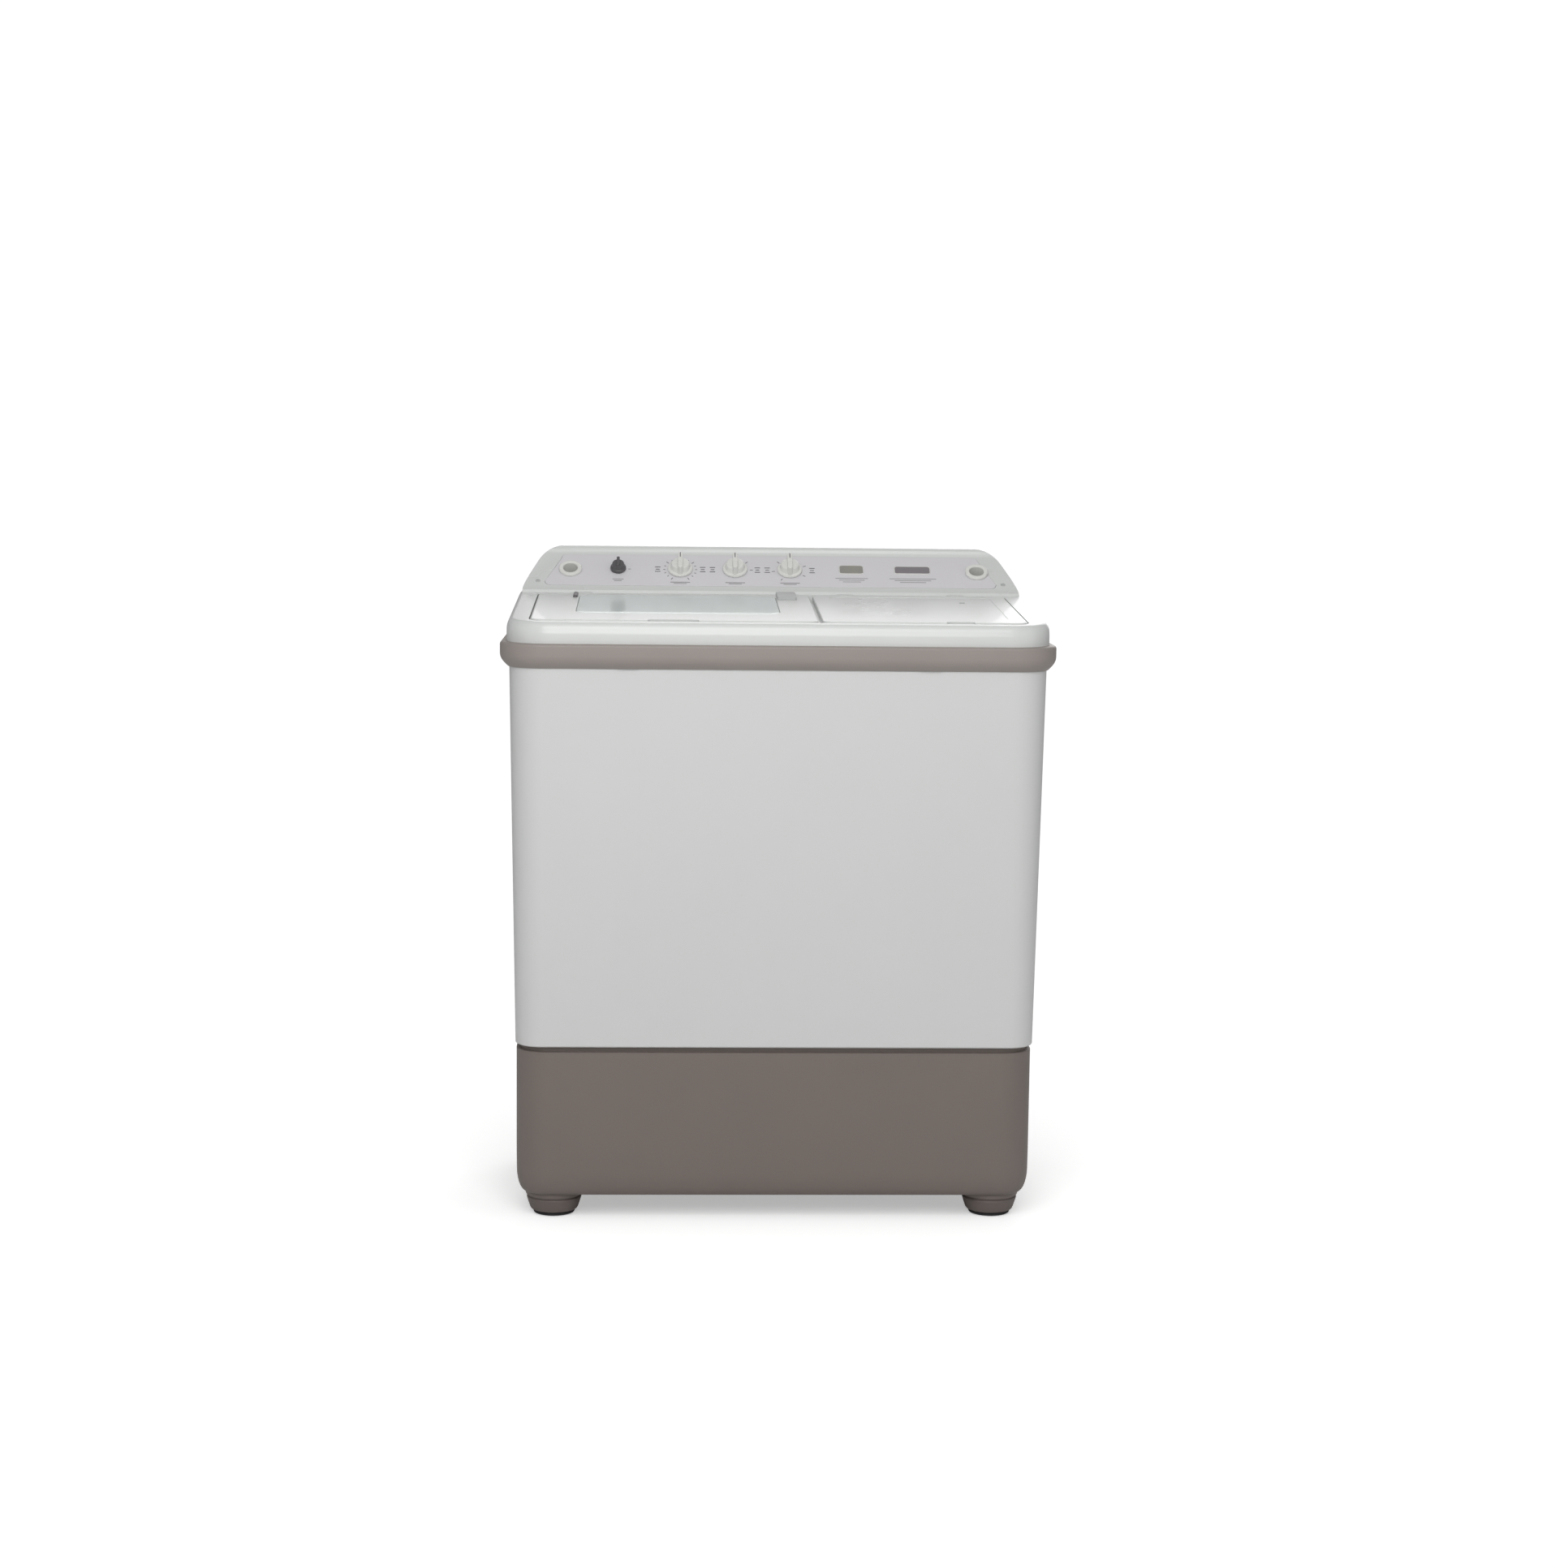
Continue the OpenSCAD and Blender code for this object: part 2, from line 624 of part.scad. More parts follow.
module wash_motor_shaft() color([0.72, 0.72, 0.74]) at(wash_motor_c)
    translate([0, 0, pulley_z - 4]) cylinder(r = 6, h = 208 - pulley_z);

module wash_motor_pulley() color([0.68, 0.69, 0.70]) at(wash_motor_c) pulley(small_pulley_r, pulley_z, 6);

module wash_motor_bracket() color([0.55, 0.56, 0.57]) at(wash_motor_c) difference() {
    union() {
        plan_slab([134, 134, 14], 0, 172, 3);
        for (sx = [-1, 1], sy = [-1, 1]) translate([sx * 55, sy * 55, base_bottom + 4])
            cylinder(r = 7, h = 169 - base_bottom);
    }
    translate([0, 0, 165]) cylinder(r = 18, h = 20);
}

module motor_mounts() color([0.10, 0.10, 0.11]) at(wash_motor_c)
    for (sx = [-1, 1], sy = [-1, 1]) translate([sx * 48, sy * 48, 175]) tube(9, 3, 0, 7);

// ---------- spin tub ----------

module spin_outer_tub() color([0.88, 0.89, 0.90]) at(spin_c) difference() {
    union() {
        tube(spin_tub_r + 3, spin_tub_r, spin_floor - 3, tub_rim - spin_floor + 3);
        tube(spin_tub_r + 11, spin_tub_r, tub_rim - 6, 6);
        tube(spin_tub_r + 1, 46, spin_floor - 3, 3);
        tube(50, 46, spin_floor - 3, 16);
    }
    translate([-92, 82, spin_floor - 10]) cylinder(r = 9, h = 20);
}

module spin_basket() color([0.80, 0.82, 0.84]) at(spin_c) difference() {
    rotate_extrude() polygon([[8, 352], [basket_r - 8, 352], [basket_r, 362], [basket_r, 752],
        [basket_r + 2, 756], [basket_r + 2, 776], [basket_r - 2, 780], [basket_r - 14, 780],
        [basket_r - 16, 776], [basket_r - 16, 760], [basket_r - 2.5, 752], [basket_r - 2.5, 364],
        [basket_r - 10, 355], [40, 355], [26, 372], [8, 372]]);
    for (row = [0 : hole_rows - 1], i = [0 : holes_per_row - 1])
        rotate((i + (row % 2) / 2) * 360 / holes_per_row) translate([basket_r - 6, 0, 400 + row * 62])
            rotate([0, 90, 0]) cylinder(r = 4, h = 12);
    for (i = [0 : 11]) rotate(30 * i) translate([74, 0, 345]) cylinder(r = 4, h = 14);
}

module spin_mat() color([0.45, 0.68, 0.80]) at(spin_c) difference() {
    tube(100, 42, 355, 3);
    for (i = [0 : 11]) rotate(30 * i) translate([74, 0, 350]) cylinder(r = 7, h = 10);
}

module spin_shaft() color([0.72, 0.72, 0.74]) at(spin_c) translate([0, 0, 150]) cylinder(r = 8, h = 228);

module spin_bellows() color([0.10, 0.10, 0.11]) at(spin_c) {
    rotate_extrude() polygon([[45.8, 343], [45.8, 322], [34, 316], [43, 306], [30, 298], [38, 288], [22, 280],
        [22, 262], [8.05, 262], [8.05, 290], [20, 290], [20, 284], [33, 290], [26, 297], [38, 306], [29, 315],
        [42, 325], [42, 343]]);
}

module spin_motor() color([0.60, 0.61, 0.62]) at(spin_c) difference() {
    union() {
        translate([0, 0, 96]) cylinder(r = 84, h = 4);
        translate([0, 0, 100]) cylinder(r = 60, h = 84);
        translate([0, 0, 184]) cylinder(r1 = 60, r2 = 44, h = 8);
        span_box([50, 14, 172], [80, 30, 178]);
        translate([brake_pivot[0], brake_pivot[1], 172]) cylinder(r = 8, h = 33.5);
        translate([brake_pivot[0], brake_pivot[1], 172]) cylinder(r = 4, h = 44);
    }
    translate([0, 0, 140]) cylinder(r = 8.05, h = 60);
}

// The three spring mounts of the spin motor, in their ribbed rubber sleeves
module spin_mounts() color([0.12, 0.12, 0.13]) at(spin_c)
    for (i = [0 : 2]) rotate(120 * i + 30) translate([68, 0, 96]) rotate_extrude()
        polygon(concat([[6, 0], [6, base_bottom - 92], [14, base_bottom - 92], [14, -46]],
            [for (k = [0 : 6]) [k % 2 == 0 ? 10 : 13, -42 + 6 * k]], [[14, -2], [14, 0]]));

module brake_drum() color([0.66, 0.67, 0.68]) at(spin_c) rotate_extrude()
    polygon([[8, 204], [46, 204], [46, 230], [42, 230], [42, 210], [18, 210], [18, 244], [8, 244]]);

// Lever with a curved pad that stands just off the drum while the spin lid is shut
module brake_lever() color([0.50, 0.51, 0.53]) at(spin_c) {
    translate([0, 0, 206]) linear_extrude(8) difference() {
        union() {
            translate(brake_pivot) {
                circle(9);
                rotate(151) translate([0, -5]) square([52, 10]);
                rotate(20) translate([0, -5]) square([42, 10]);
            }
            brake_pad();
        }
        translate(brake_pivot) circle(4.05);
    }
    translate([0, 0, 214]) linear_extrude(8) brake_pad();
}

module brake_pad() difference() {
    rotate(65) translate([40, -16]) square([18, 32]);
    circle(47.5);
}

// ---------- drain ----------

module drain_valve_box() color([0.85, 0.85, 0.86]) at(drain_c) difference() {
    translate([0, 0, 232]) cylinder(r = 21, h = 65);
    translate([0, 0, 240]) cylinder(r = 18, h = 60);
    translate([0, 0, 225]) cylinder(r = 11, h = 20);
}

module drain_plunger() color([0.75, 0.30, 0.25]) at(drain_c) {
    translate([0, 0, 240.2]) cylinder(r = 15, h = 6);
    translate([0, 0, 246]) cylinder(r = 2, h = 514);
}

// Two sumps, the slanted pipe between them, and the outlet through the base's back wall
module drain_pipe() color([0.55, 0.56, 0.58]) {
    outlet_z = 76;
    spin_drain = [spin_c[0] - 92, spin_c[1] + 82];
    back = overall_d / 2 - 3;
    difference() {
        union() {
            translate([drain_c[0], drain_c[1], 56]) cylinder(r = 19, h = 176);
            translate([spin_drain[0], spin_drain[1], 224]) cylinder(r = 14, h = spin_floor - 227);
            bar([spin_drain[0], spin_drain[1], 240], [drain_c[0], drain_c[1], 150], 9);
            bar([drain_c[0], drain_c[1], outlet_z], [drain_c[0], base_plan[1] / 2 + 4, outlet_z], 15);
            bar([drain_c[0], drain_c[1], outlet_z], [drain_c[0], back, outlet_z], 13.5);
        }
        translate([drain_c[0], drain_c[1], 59]) cylinder(r = 16, h = 180);
        translate([spin_drain[0], spin_drain[1], 227]) cylinder(r = 11.5, h = 120);
        bar([spin_drain[0], spin_drain[1], 240], [drain_c[0], drain_c[1], 150], 6.5);
        bar([drain_c[0], drain_c[1], outlet_z], [drain_c[0], back + 5, outlet_z], 11);
    }
}

// ---------- electrics ----------

module capacitor() color([0.80, 0.80, 0.78]) translate([-40, -130, base_bottom + 4]) {
    plan_slab([50, 50, 6], 0, 0, 6);
    translate([0, 0, 6]) cylinder(r = 20, h = 66);
    for (s = [-1, 1]) translate([s * 8, 0, 72]) cylinder(r = 2, h = 8);
}

module cord_gland() color([0.08, 0.08, 0.09]) translate([250, base_plan[1] / 2, 110]) rotate([-90, 0, 0]) {
    tube(14, 4.5, 0.3, 5);
    tube(8.6, 4.5, -9, 9.5);
    tube(12, 4.5, -9, 5.5);
}

// ---------- drawing ----------

base();
feet();
foot_pads();
cabinet();
rear_cover();
rear_cover_screws();
trim_band();
top_deck();
rear_console();
splash_rings();
control_panel();
badge();
inlet_ports();
inlet_ducts();
wash_lid();
wash_lid_window();
lid_pins(wash_hinge_x);  // wash_lid_pins
spin_lid();
lid_pins(spin_hinge_x);  // spin_lid_pins
knob(wash_timer_x, 19);  // wash_timer_knob
control_shaft(wash_timer_x);  // wash_timer_shaft
control_body(wash_timer_x, 46, [0.86, 0.84, 0.78]);  // wash_timer
knob(selector_x, 19);  // selector_knob
control_shaft(selector_x);  // selector_shaft
control_body(selector_x, 40, [0.25, 0.26, 0.28]);  // selector_switch
knob(spin_timer_x, 19);  // spin_timer_knob
control_shaft(spin_timer_x);  // spin_timer_shaft
control_body(spin_timer_x, 46, [0.86, 0.84, 0.78]);  // spin_timer
water_selector_knob();
control_body(water_selector_x, 34, [0.85, 0.85, 0.86]);  // water_selector_valve
wash_tub();
overflow_cover();
filter_rail();
lint_filter();
pulsator();
pulsator_screw();
pulsator_shaft();
wash_bearing_housing();
wash_seal();
wash_pulley();
drive_belt();
wash_motor();
wash_motor_shaft();
wash_motor_pulley();
wash_motor_bracket();
motor_mounts();
spin_outer_tub();
spin_basket();
spin_mat();
spin_shaft();
spin_bellows();
spin_motor();
spin_mounts();
brake_drum();
brake_lever();
drain_valve_box();
drain_plunger();
drain_pipe();
capacitor();
cord_gland();
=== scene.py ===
"""Twin tub washing machine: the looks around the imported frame, in metres."""
import bmesh
import bpy
import json
import math
from mathutils import Matrix, Vector


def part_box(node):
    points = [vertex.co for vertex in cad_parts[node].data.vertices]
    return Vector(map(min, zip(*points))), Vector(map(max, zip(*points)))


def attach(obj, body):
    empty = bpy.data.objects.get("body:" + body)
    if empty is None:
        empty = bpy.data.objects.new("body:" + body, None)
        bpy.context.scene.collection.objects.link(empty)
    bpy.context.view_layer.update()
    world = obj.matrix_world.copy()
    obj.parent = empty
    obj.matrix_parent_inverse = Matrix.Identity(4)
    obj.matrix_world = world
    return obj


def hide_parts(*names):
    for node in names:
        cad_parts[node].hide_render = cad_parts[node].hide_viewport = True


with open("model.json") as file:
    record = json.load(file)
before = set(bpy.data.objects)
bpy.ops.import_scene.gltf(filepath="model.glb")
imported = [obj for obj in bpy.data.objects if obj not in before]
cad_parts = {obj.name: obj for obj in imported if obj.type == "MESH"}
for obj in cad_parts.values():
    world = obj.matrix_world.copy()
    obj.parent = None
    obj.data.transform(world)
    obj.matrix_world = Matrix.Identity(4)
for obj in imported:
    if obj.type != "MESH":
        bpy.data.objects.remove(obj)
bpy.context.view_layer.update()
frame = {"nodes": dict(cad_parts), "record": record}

DECK_SLOPE = math.radians(3.5)
PANEL_SLOPE = math.radians(37)
DECK = Matrix.Translation((0, -0.205, 0.866)) @ Matrix.Rotation(DECK_SLOPE, 4, "X")
PANEL = Matrix.Translation((0, 0.146, 0.894)) @ Matrix.Rotation(PANEL_SLOPE, 4, "X")
BACK_OUT = Matrix.Rotation(math.radians(-90), 4, "X")
WASH = (-0.150, -0.032)
SPIN = (0.212, -0.032)
BASE_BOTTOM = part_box("base")[0][2] + 0.008
FOOT_SEAT = BASE_BOTTOM - 0.008
CORNERS = [(-1, -1), (1, -1), (-1, 1), (1, 1)]
LID_Y = (0.008, 0.329)
CONSOLE_Y = 0.138
HINGE = (0.3365, -0.0045)
HINGE_X = {"wash": (-0.285, 0.024), "spin": (0.112, 0.281)}
DIAL_X = {"wash": -0.139, "selector": -0.055, "spin": 0.029, "water": -0.234}
DIAL_Y = 0.042
PORT_X = (-0.307, 0.317)
PORT_Y = 0.040
BADGE_X = {"left": 0.124, "right": 0.218}
FOOT_AT = (0.318, 0.146)
WASH_DRAIN = (-0.042, 0.106)
FILM_TOP = 0.00052


# ---------------------------------------------------------------- finishes

def linear(rgb):
    """Display colour 0 to 255 as linear light."""
    return [(c / 255 / 12.92) if c <= 10 else ((c / 255 + 0.055) / 1.055) ** 2.4 for c in rgb] + [1.0]


def node(tree, kind, **values):
    n = tree.nodes.new(kind)
    for k, v in values.items():
        if hasattr(n, k):
            setattr(n, k, v)
        else:
            n.inputs[k.replace("_", " ")].default_value = v
    return n


def finish_of(name, rgb, rough, tone=0.06, blotch=6.0, grain=900.0, relief=0.00006, spread=0.08, **sockets):
    """Moulded or machined finish: slow drift of tone, fine grain in the relief and in the gloss."""
    m = bpy.data.materials.new(name)
    m.use_nodes = True
    t = m.node_tree
    bsdf = t.nodes["Principled BSDF"]
    where = node(t, "ShaderNodeTexCoord")
    drift = node(t, "ShaderNodeTexNoise", Scale=blotch, Detail=3.0)
    shade = node(t, "ShaderNodeMix", data_type="RGBA")
    light, dark = linear(rgb), linear([c * (1 - tone) for c in rgb])
    shade.inputs["A"].default_value = dark
    shade.inputs["B"].default_value = light
    fine = node(t, "ShaderNodeTexNoise", Scale=grain, Detail=2.0)
    gloss = node(t, "ShaderNodeMapRange")
    gloss.inputs["To Min"].default_value = max(rough - spread, 0.02)
    gloss.inputs["To Max"].default_value = min(rough + spread, 1.0)
    bump = node(t, "ShaderNodeBump", Strength=0.6, Distance=relief)
    join = t.links.new
    join(where.outputs["Object"], drift.inputs["Vector"])
    join(where.outputs["Object"], fine.inputs["Vector"])
    join(drift.outputs["Fac"], shade.inputs["Factor"])
    join(shade.outputs["Result"], bsdf.inputs["Base Color"])
    join(drift.outputs["Fac"], gloss.inputs["Value"])
    join(gloss.outputs["Result"], bsdf.inputs["Roughness"])
    join(fine.outputs["Fac"], bump.inputs["Height"])
    join(bump.outputs["Normal"], bsdf.inputs["Normal"])
    for socket, value in sockets.items():
        bsdf.inputs[socket.replace("_", " ")].default_value = value
    return m


FINISH = {
    "shell_white": finish_of("deck_white", (215, 217, 215), 0.30, 0.015, 5, 700, 0.00004, Coat_Weight=0.15),
    "cabinet_grey": finish_of("cabinet_grey", (212, 213, 212), 0.42, 0.012, 3, 800, 0.00005),
    "taupe": finish_of("trim_taupe", (153, 145, 140), 0.46, 0.05, 7, 1100, 0.00009),
    "foot_brown": finish_of("foot_brown", (112, 102, 98), 0.55, 0.06, 12, 900, 0.0001),
    "panel_film": finish_of("panel_film", (218, 216, 219), 0.34, 0.02, 9, 1400, 0.00003),
    "knob_white": finish_of("knob_white", (226, 226, 222), 0.26, 0.02, 20, 900, 0.00003, Coat_Weight=0.3),
    "dark_plastic": finish_of("dark_plastic", (70, 68, 70), 0.42, 0.10, 25, 1200, 0.00006),
    "tub_plastic": finish_of("tub_plastic", (226, 230, 234), 0.28, 0.03, 8, 600, 0.00004),
    "blue_plastic": finish_of("agitator_blue", (112, 158, 200), 0.30, 0.06, 10, 700, 0.00004,
                              Coat_Weight=0.2),
    "red_plastic": finish_of("valve_red", (190, 84, 70), 0.45, 0.08, 30, 900, 0.00005),
    "rubber_black": finish_of("rubber_black", (44, 44, 46), 0.78, 0.16, 30, 1500, 0.00015),
    "steel": finish_of("turned_steel", (196, 198, 202), 0.30, 0.10, 60, 1500, 0.00003, Metallic=1.0),
    "motor_grey": finish_of("motor_enamel", (150, 152, 154), 0.44, 0.08, 18, 500, 0.0001, Metallic=0.3),
    "cast_alloy": finish_of("cast_alloy", (182, 184, 186), 0.52, 0.12, 22, 420, 0.0002, Metallic=1.0),
    "body_cream": finish_of("timer_cream", (224, 218, 200), 0.44, 0.05, 20, 900, 0.00005),
    "window_aqua": finish_of("window_aqua", (227, 238, 235), 0.14, 0.02, 5, 300, 0.00002, 0.03,
                             Transmission_Weight=0.14, IOR=1.45),
}
BASE_FINISH = finish_of("base_taupe", (123, 113, 107), 0.48, 0.05, 6, 1100, 0.00009)
# Dark grey of the badge bars, also used as painted shade on the left hinge stud and in the spin lid's groove.
BADGE_GREY_AND_PAINTED_SHADE = finish_of("badge_grey_and_painted_shade", (104, 100, 102), 0.38, 0.08, 30, 1200, 0.00004)
EMBLEM_FINISH = finish_of("emblem_olive", (164, 162, 154), 0.34, 0.06, 60, 1400, 0.00003, Metallic=0.35)
MARQUE_FINISH = finish_of("emblem_plum", (146, 141, 145), 0.34, 0.06, 60, 1400, 0.00003, Metallic=0.35)
GRIP_FINISH = finish_of("grip_charcoal", (92, 90, 92), 0.40, 0.08, 40, 1300, 0.00005)
PLATE_FINISH = finish_of("plate_grey", (184, 186, 185), 0.40, 0.04, 30, 1200, 0.00004)
INK = finish_of("dial_ink", (96, 94, 98), 0.50, 0.08, 40, 1500, 0.00002)
INK_PALE = finish_of("legend_ink", (150, 148, 150), 0.50, 0.08, 40, 1500, 0.00002)


# ---------------------------------------------------------------- workshop

def clear_selection():
    if bpy.context.mode != "OBJECT":
        bpy.ops.object.mode_set(mode="OBJECT")
    bpy.ops.object.select_all(action="DESELECT")


def choose(o):
    clear_selection()
    o.select_set(True)
    bpy.context.view_layer.objects.active = o


def pick(o, kind, test):
    """Selects in edit mode the faces, edges or corners for which test(element) holds."""
    if bpy.context.mode == "OBJECT":
        choose(o)
        bpy.ops.object.mode_set(mode="EDIT")
    bpy.ops.mesh.select_mode(type=kind)
    bpy.ops.mesh.select_all(action="DESELECT")
    b = bmesh.from_edit_mesh(o.data)
    found = {"VERT": b.verts, "EDGE": b.edges, "FACE": b.faces}[kind]
    n = 0
    for e in found:
        if test(e):
            e.select_set(True)
            n += 1
    b.select_flush_mode()
    bmesh.update_edit_mesh(o.data)
    return n


def block(name, size, at, radius=0.0, segments=10):
    """Upright block with round vertical corners; at is the middle of its underside."""
    clear_selection()
    bpy.ops.mesh.primitive_cube_add(size=1, location=(0, 0, 0))
    o = bpy.context.object
    o.name = o.data.name = name
    bpy.ops.object.mode_set(mode="EDIT")
    bpy.ops.mesh.select_all(action="SELECT")
    bpy.ops.transform.resize(value=size, center_override=(0, 0, 0))
    bpy.ops.transform.translate(value=(at[0], at[1], at[2] + size[2] / 2))
    if radius:
        pick(o, "EDGE", lambda e: abs(e.verts[0].co.z - e.verts[1].co.z) > size[2] / 2)
        bpy.ops.mesh.bevel(affect="EDGES", offset=radius, segments=segments, clamp_overlap=False)
    bpy.ops.object.mode_set(mode="OBJECT")
    return o


def end_face(o, side):
    """Selects the highest (1) or lowest (-1) level face."""
    level = max(side * v.co.z for v in o.data.vertices) - 1e-6
    pick(o, "FACE", lambda f: side * f.normal.z > 0.9 and side * f.calc_center_median().z > level)


def grow(o, steps, side=1):
    """Draws the end face out in steps of (inset, rise)."""
    if bpy.context.mode != "OBJECT":
        bpy.ops.object.mode_set(mode="OBJECT")
    end_face(o, side)
    for inset, rise in steps:
        if inset:
            bpy.ops.mesh.inset(thickness=inset, depth=rise)
        else:
            bpy.ops.mesh.extrude_region_move(TRANSFORM_OT_translate={"value": (0, 0, side * rise)})
    bpy.ops.object.mode_set(mode="OBJECT")


def curl(width, height, steps=5):
    """Steps that round an edge off by a quarter of an ellipse."""
    turn = [i * math.pi / 2 / steps for i in range(steps + 1)]
    return [(width * (math.cos(a) - math.cos(b)), height * (math.sin(b) - math.sin(a)))
            for a, b in zip(turn, turn[1:])]


def turned(name, rings, segments=48, open_end=False):
    """Turned piece on the Z axis: rings are (radius, height), drawn out one after the other."""
    clear_selection()
    bpy.ops.mesh.primitive_circle_add(vertices=segments, radius=rings[0][0], fill_type="NGON",
                                      location=(0, 0, 0))
    o = bpy.context.object
    o.name = o.data.name = name
    bpy.ops.object.mode_set(mode="EDIT")
    bpy.ops.mesh.select_all(action="SELECT")
    bpy.ops.transform.translate(value=(0, 0, rings[0][1]))
    for (r0, z0), (r1, z1) in zip(rings, rings[1:]):
        bpy.ops.mesh.extrude_region_move(TRANSFORM_OT_translate={"value": (0, 0, z1 - z0)})
        bpy.ops.transform.resize(value=(r1 / r0, r1 / r0, 1), center_override=(0, 0, z1))
    if open_end:
        bpy.ops.mesh.delete(type="ONLY_FACE")
        if pick(o, "FACE", lambda f: len(f.verts) == segments):
            bpy.ops.mesh.delete(type="ONLY_FACE")
        pick(o, "EDGE", lambda e: e.is_boundary)
        bpy.ops.mesh.bridge_edge_loops()
    bpy.ops.mesh.select_all(action="SELECT")
    bpy.ops.mesh.normals_make_consistent(inside=False)
    bpy.ops.object.mode_set(mode="OBJECT")
    return o


def modify(o, kind, **values):
    """Adds a modifier with these values and applies it."""
    choose(o)
    m = o.modifiers.new(kind.title(), kind)
    for k, v in values.items():
        setattr(m, k, v)
    bpy.ops.object.modifier_apply(modifier=m.name)


def cut(o, *tools, operation="DIFFERENCE"):
    """Works each tool into the object, and removes the tool."""
    for tool in tools:
        modify(o, "BOOLEAN", operation=operation, solver="EXACT", object=tool)
        bpy.data.objects.remove(tool, do_unlink=True)
    return o


def settle(o, place=Matrix.Identity(4)):
    """Puts the object at place and moves that place into its mesh."""
    o.matrix_world = place @ o.matrix_world
    choose(o)
    bpy.ops.object.transform_apply(location=True, rotation=True, scale=True)
    return o


def merge(name, objects):
    """Joins the objects into one that has this name."""
    clear_selection()
    for o in objects:
        o.select_set(True)
    bpy.context.view_layer.objects.active = objects[0]
    if len(objects) > 1:
        bpy.ops.object.join()
    o = bpy.context.object
    o.name = o.data.name = name
    return o


def even_shading(o, angle):
    """Smooth shading that keeps large flat faces flat."""
    choose(o)
    bpy.ops.object.shade_smooth_by_angle(angle=math.radians(angle))
    modify(o, "WEIGHTED_NORMAL", weight=80, keep_sharp=True)


def hand_over(o, body, slot, replaced=(), edge=0.0008, smooth=32, material=None, edge_steps=2):
    """Last touches on a piece: soft edges, shading, finish and the body it goes with."""
    choose(o)
    bpy.ops.object.mode_set(mode="EDIT")
    bpy.ops.mesh.select_all(action="SELECT")
    bpy.ops.mesh.remove_doubles(threshold=2e-6)
    bpy.ops.mesh.normals_make_consistent(inside=False)
    bpy.ops.object.mode_set(mode="OBJECT")
    if edge:
        modify(o, "BEVEL", width=edge, segments=edge_steps, limit_method="ANGLE",
               angle_limit=math.radians(35), harden_normals=False)
    even_shading(o, smooth)
    o.data.materials.clear()
    o.data.materials.append(material or FINISH[slot])
    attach(o, body)
    if replaced:
        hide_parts(*replaced)
    return o


# ---------------------------------------------------------------- cabinet, base and band

def make_base():
    """Hollow lower shell with a rounded underside, a shadow gap round its top and a boss for each foot."""
    base = block("base_shell", (0.744, 0.406, 0.147), (0, 0, 0.100), 0.046, 12)
    grow(base, [(0.0003, 0.030 - BASE_BOTTOM + 0.036)] + curl(0.0128, 0.034, 7), -1)
    grow(base, [(0.0006, 0.0006), (0.0014, 0.0004), (0.004, 0), (0, 0.008), (0.007, 0), (0, -0.170),
                (0.010, -0.030)])
    bosses = [turned("boss", [(0.0408, FOOT_SEAT + 0.0002), (0.0416, FOOT_SEAT + 0.003), (0.043, 0.048)])
              for _ in CORNERS]
    for boss, (sx, sy) in zip(bosses, CORNERS):
        settle(boss, Matrix.Translation((sx * FOOT_AT[0], sy * FOOT_AT[1], 0)))
    cut(base, *bosses, operation="UNION")
    drain = settle(turned("drain_hole", [(0.0155, 0), (0.0155, 0.06)]),
                   Matrix.Translation((WASH_DRAIN[0], 0.170, 0.076)) @ BACK_OUT)
    cord = settle(turned("cord_hole", [(0.009, 0), (0.009, 0.06)]),
                  Matrix.Translation((0.250, 0.170, 0.110)) @ BACK_OUT)
    cut(base, drain, cord)
    return hand_over(base, "machine", "taupe", ("base",), 0.0006, 32, BASE_FINISH)


def make_cabinet():
    """Drafted case, with a shallow pressed channel on each side of the front."""
    top, bottom, draft = 0.815, 0.256, 0.009
    case = block("cabinet_case", (0.764, 0.434, 0.004), (0, 0, top - 0.004), 0.048, 14)
    grow(case, [(draft, top - 0.004 - bottom - 0.002), (0.0008, 0.0012), (0.0015, 0.0008)], -1)
    grow(case, [(0.004, 0), (0.0001, -0.02), (draft, -0.525), (0.011, -0.006)])
    pick(case, "FACE", lambda f: True)
    for x in (0.196, 0.2005, 0.2255, 0.230):
        for s in (-1, 1):
            bpy.ops.mesh.select_all(action="SELECT")
            bpy.ops.mesh.bisect(plane_co=(s * x, 0, 0), plane_no=(1, 0, 0))
    for z in (0.300, 0.312):
        bpy.ops.mesh.select_all(action="SELECT")
        bpy.ops.mesh.bisect(plane_co=(0, 0, z), plane_no=(0, 0, 1))

    def in_channel(v):
        on_front = v.co.y < -0.2035 + (v.co.z - 0.256) * -0.0161
        return 0.200 < abs(v.co.x) < 0.226 and on_front and v.co.z > 0.311

    pick(case, "VERT", in_channel)
    bpy.ops.transform.translate(value=(0, 0.0016, 0))
    return hand_over(case, "machine", "cabinet_grey", ("cabinet",), 0.0, 24)


def make_band():
    """Band round the top of the case, full in the middle and curled in at both edges."""
    band = block("trim_band_ring", (0.790, 0.460, 0.013), (0, 0, 0.817), 0.060, 14)
    grow(band, [(0.0005, 0.0018), (0.0013, 0.0014), (0.0022, 0.0008), (0.010, 0)])
    grow(band, [(0.0006, 0.004), (0.0018, 0.004), (0.0024, 0.0034), (0.0028, 0.0030), (0.0024, 0.0024),
                (0.0012, 0.0012)], -1)
    low = block("band_low", (0.7652, 0.4352, 0.020), (0, 0, 0.795), 0.0486, 14)
    high = block("band_high", (0.744, 0.414, 0.06), (0, 0, 0.790), 0.038, 14)
    cut(band, low, high)
    return hand_over(band, "machine", "taupe", ("trim_band",), 0.0005, 30)


# ---------------------------------------------------------------- top deck

def tilt(o, above, pivot, angle):
    """Turns everything above a height about X."""
    pick(o, "VERT", lambda v: v.co.z > above)
    bpy.ops.object.mode_set(mode="OBJECT")
    turn = Matrix.Translation(pivot) @ Matrix.Rotation(angle, 4, "X") @ Matrix.Translation(-Vector(pivot))
    for v in o.data.vertices:
        if v.select:
            v.co = turn @ v.co


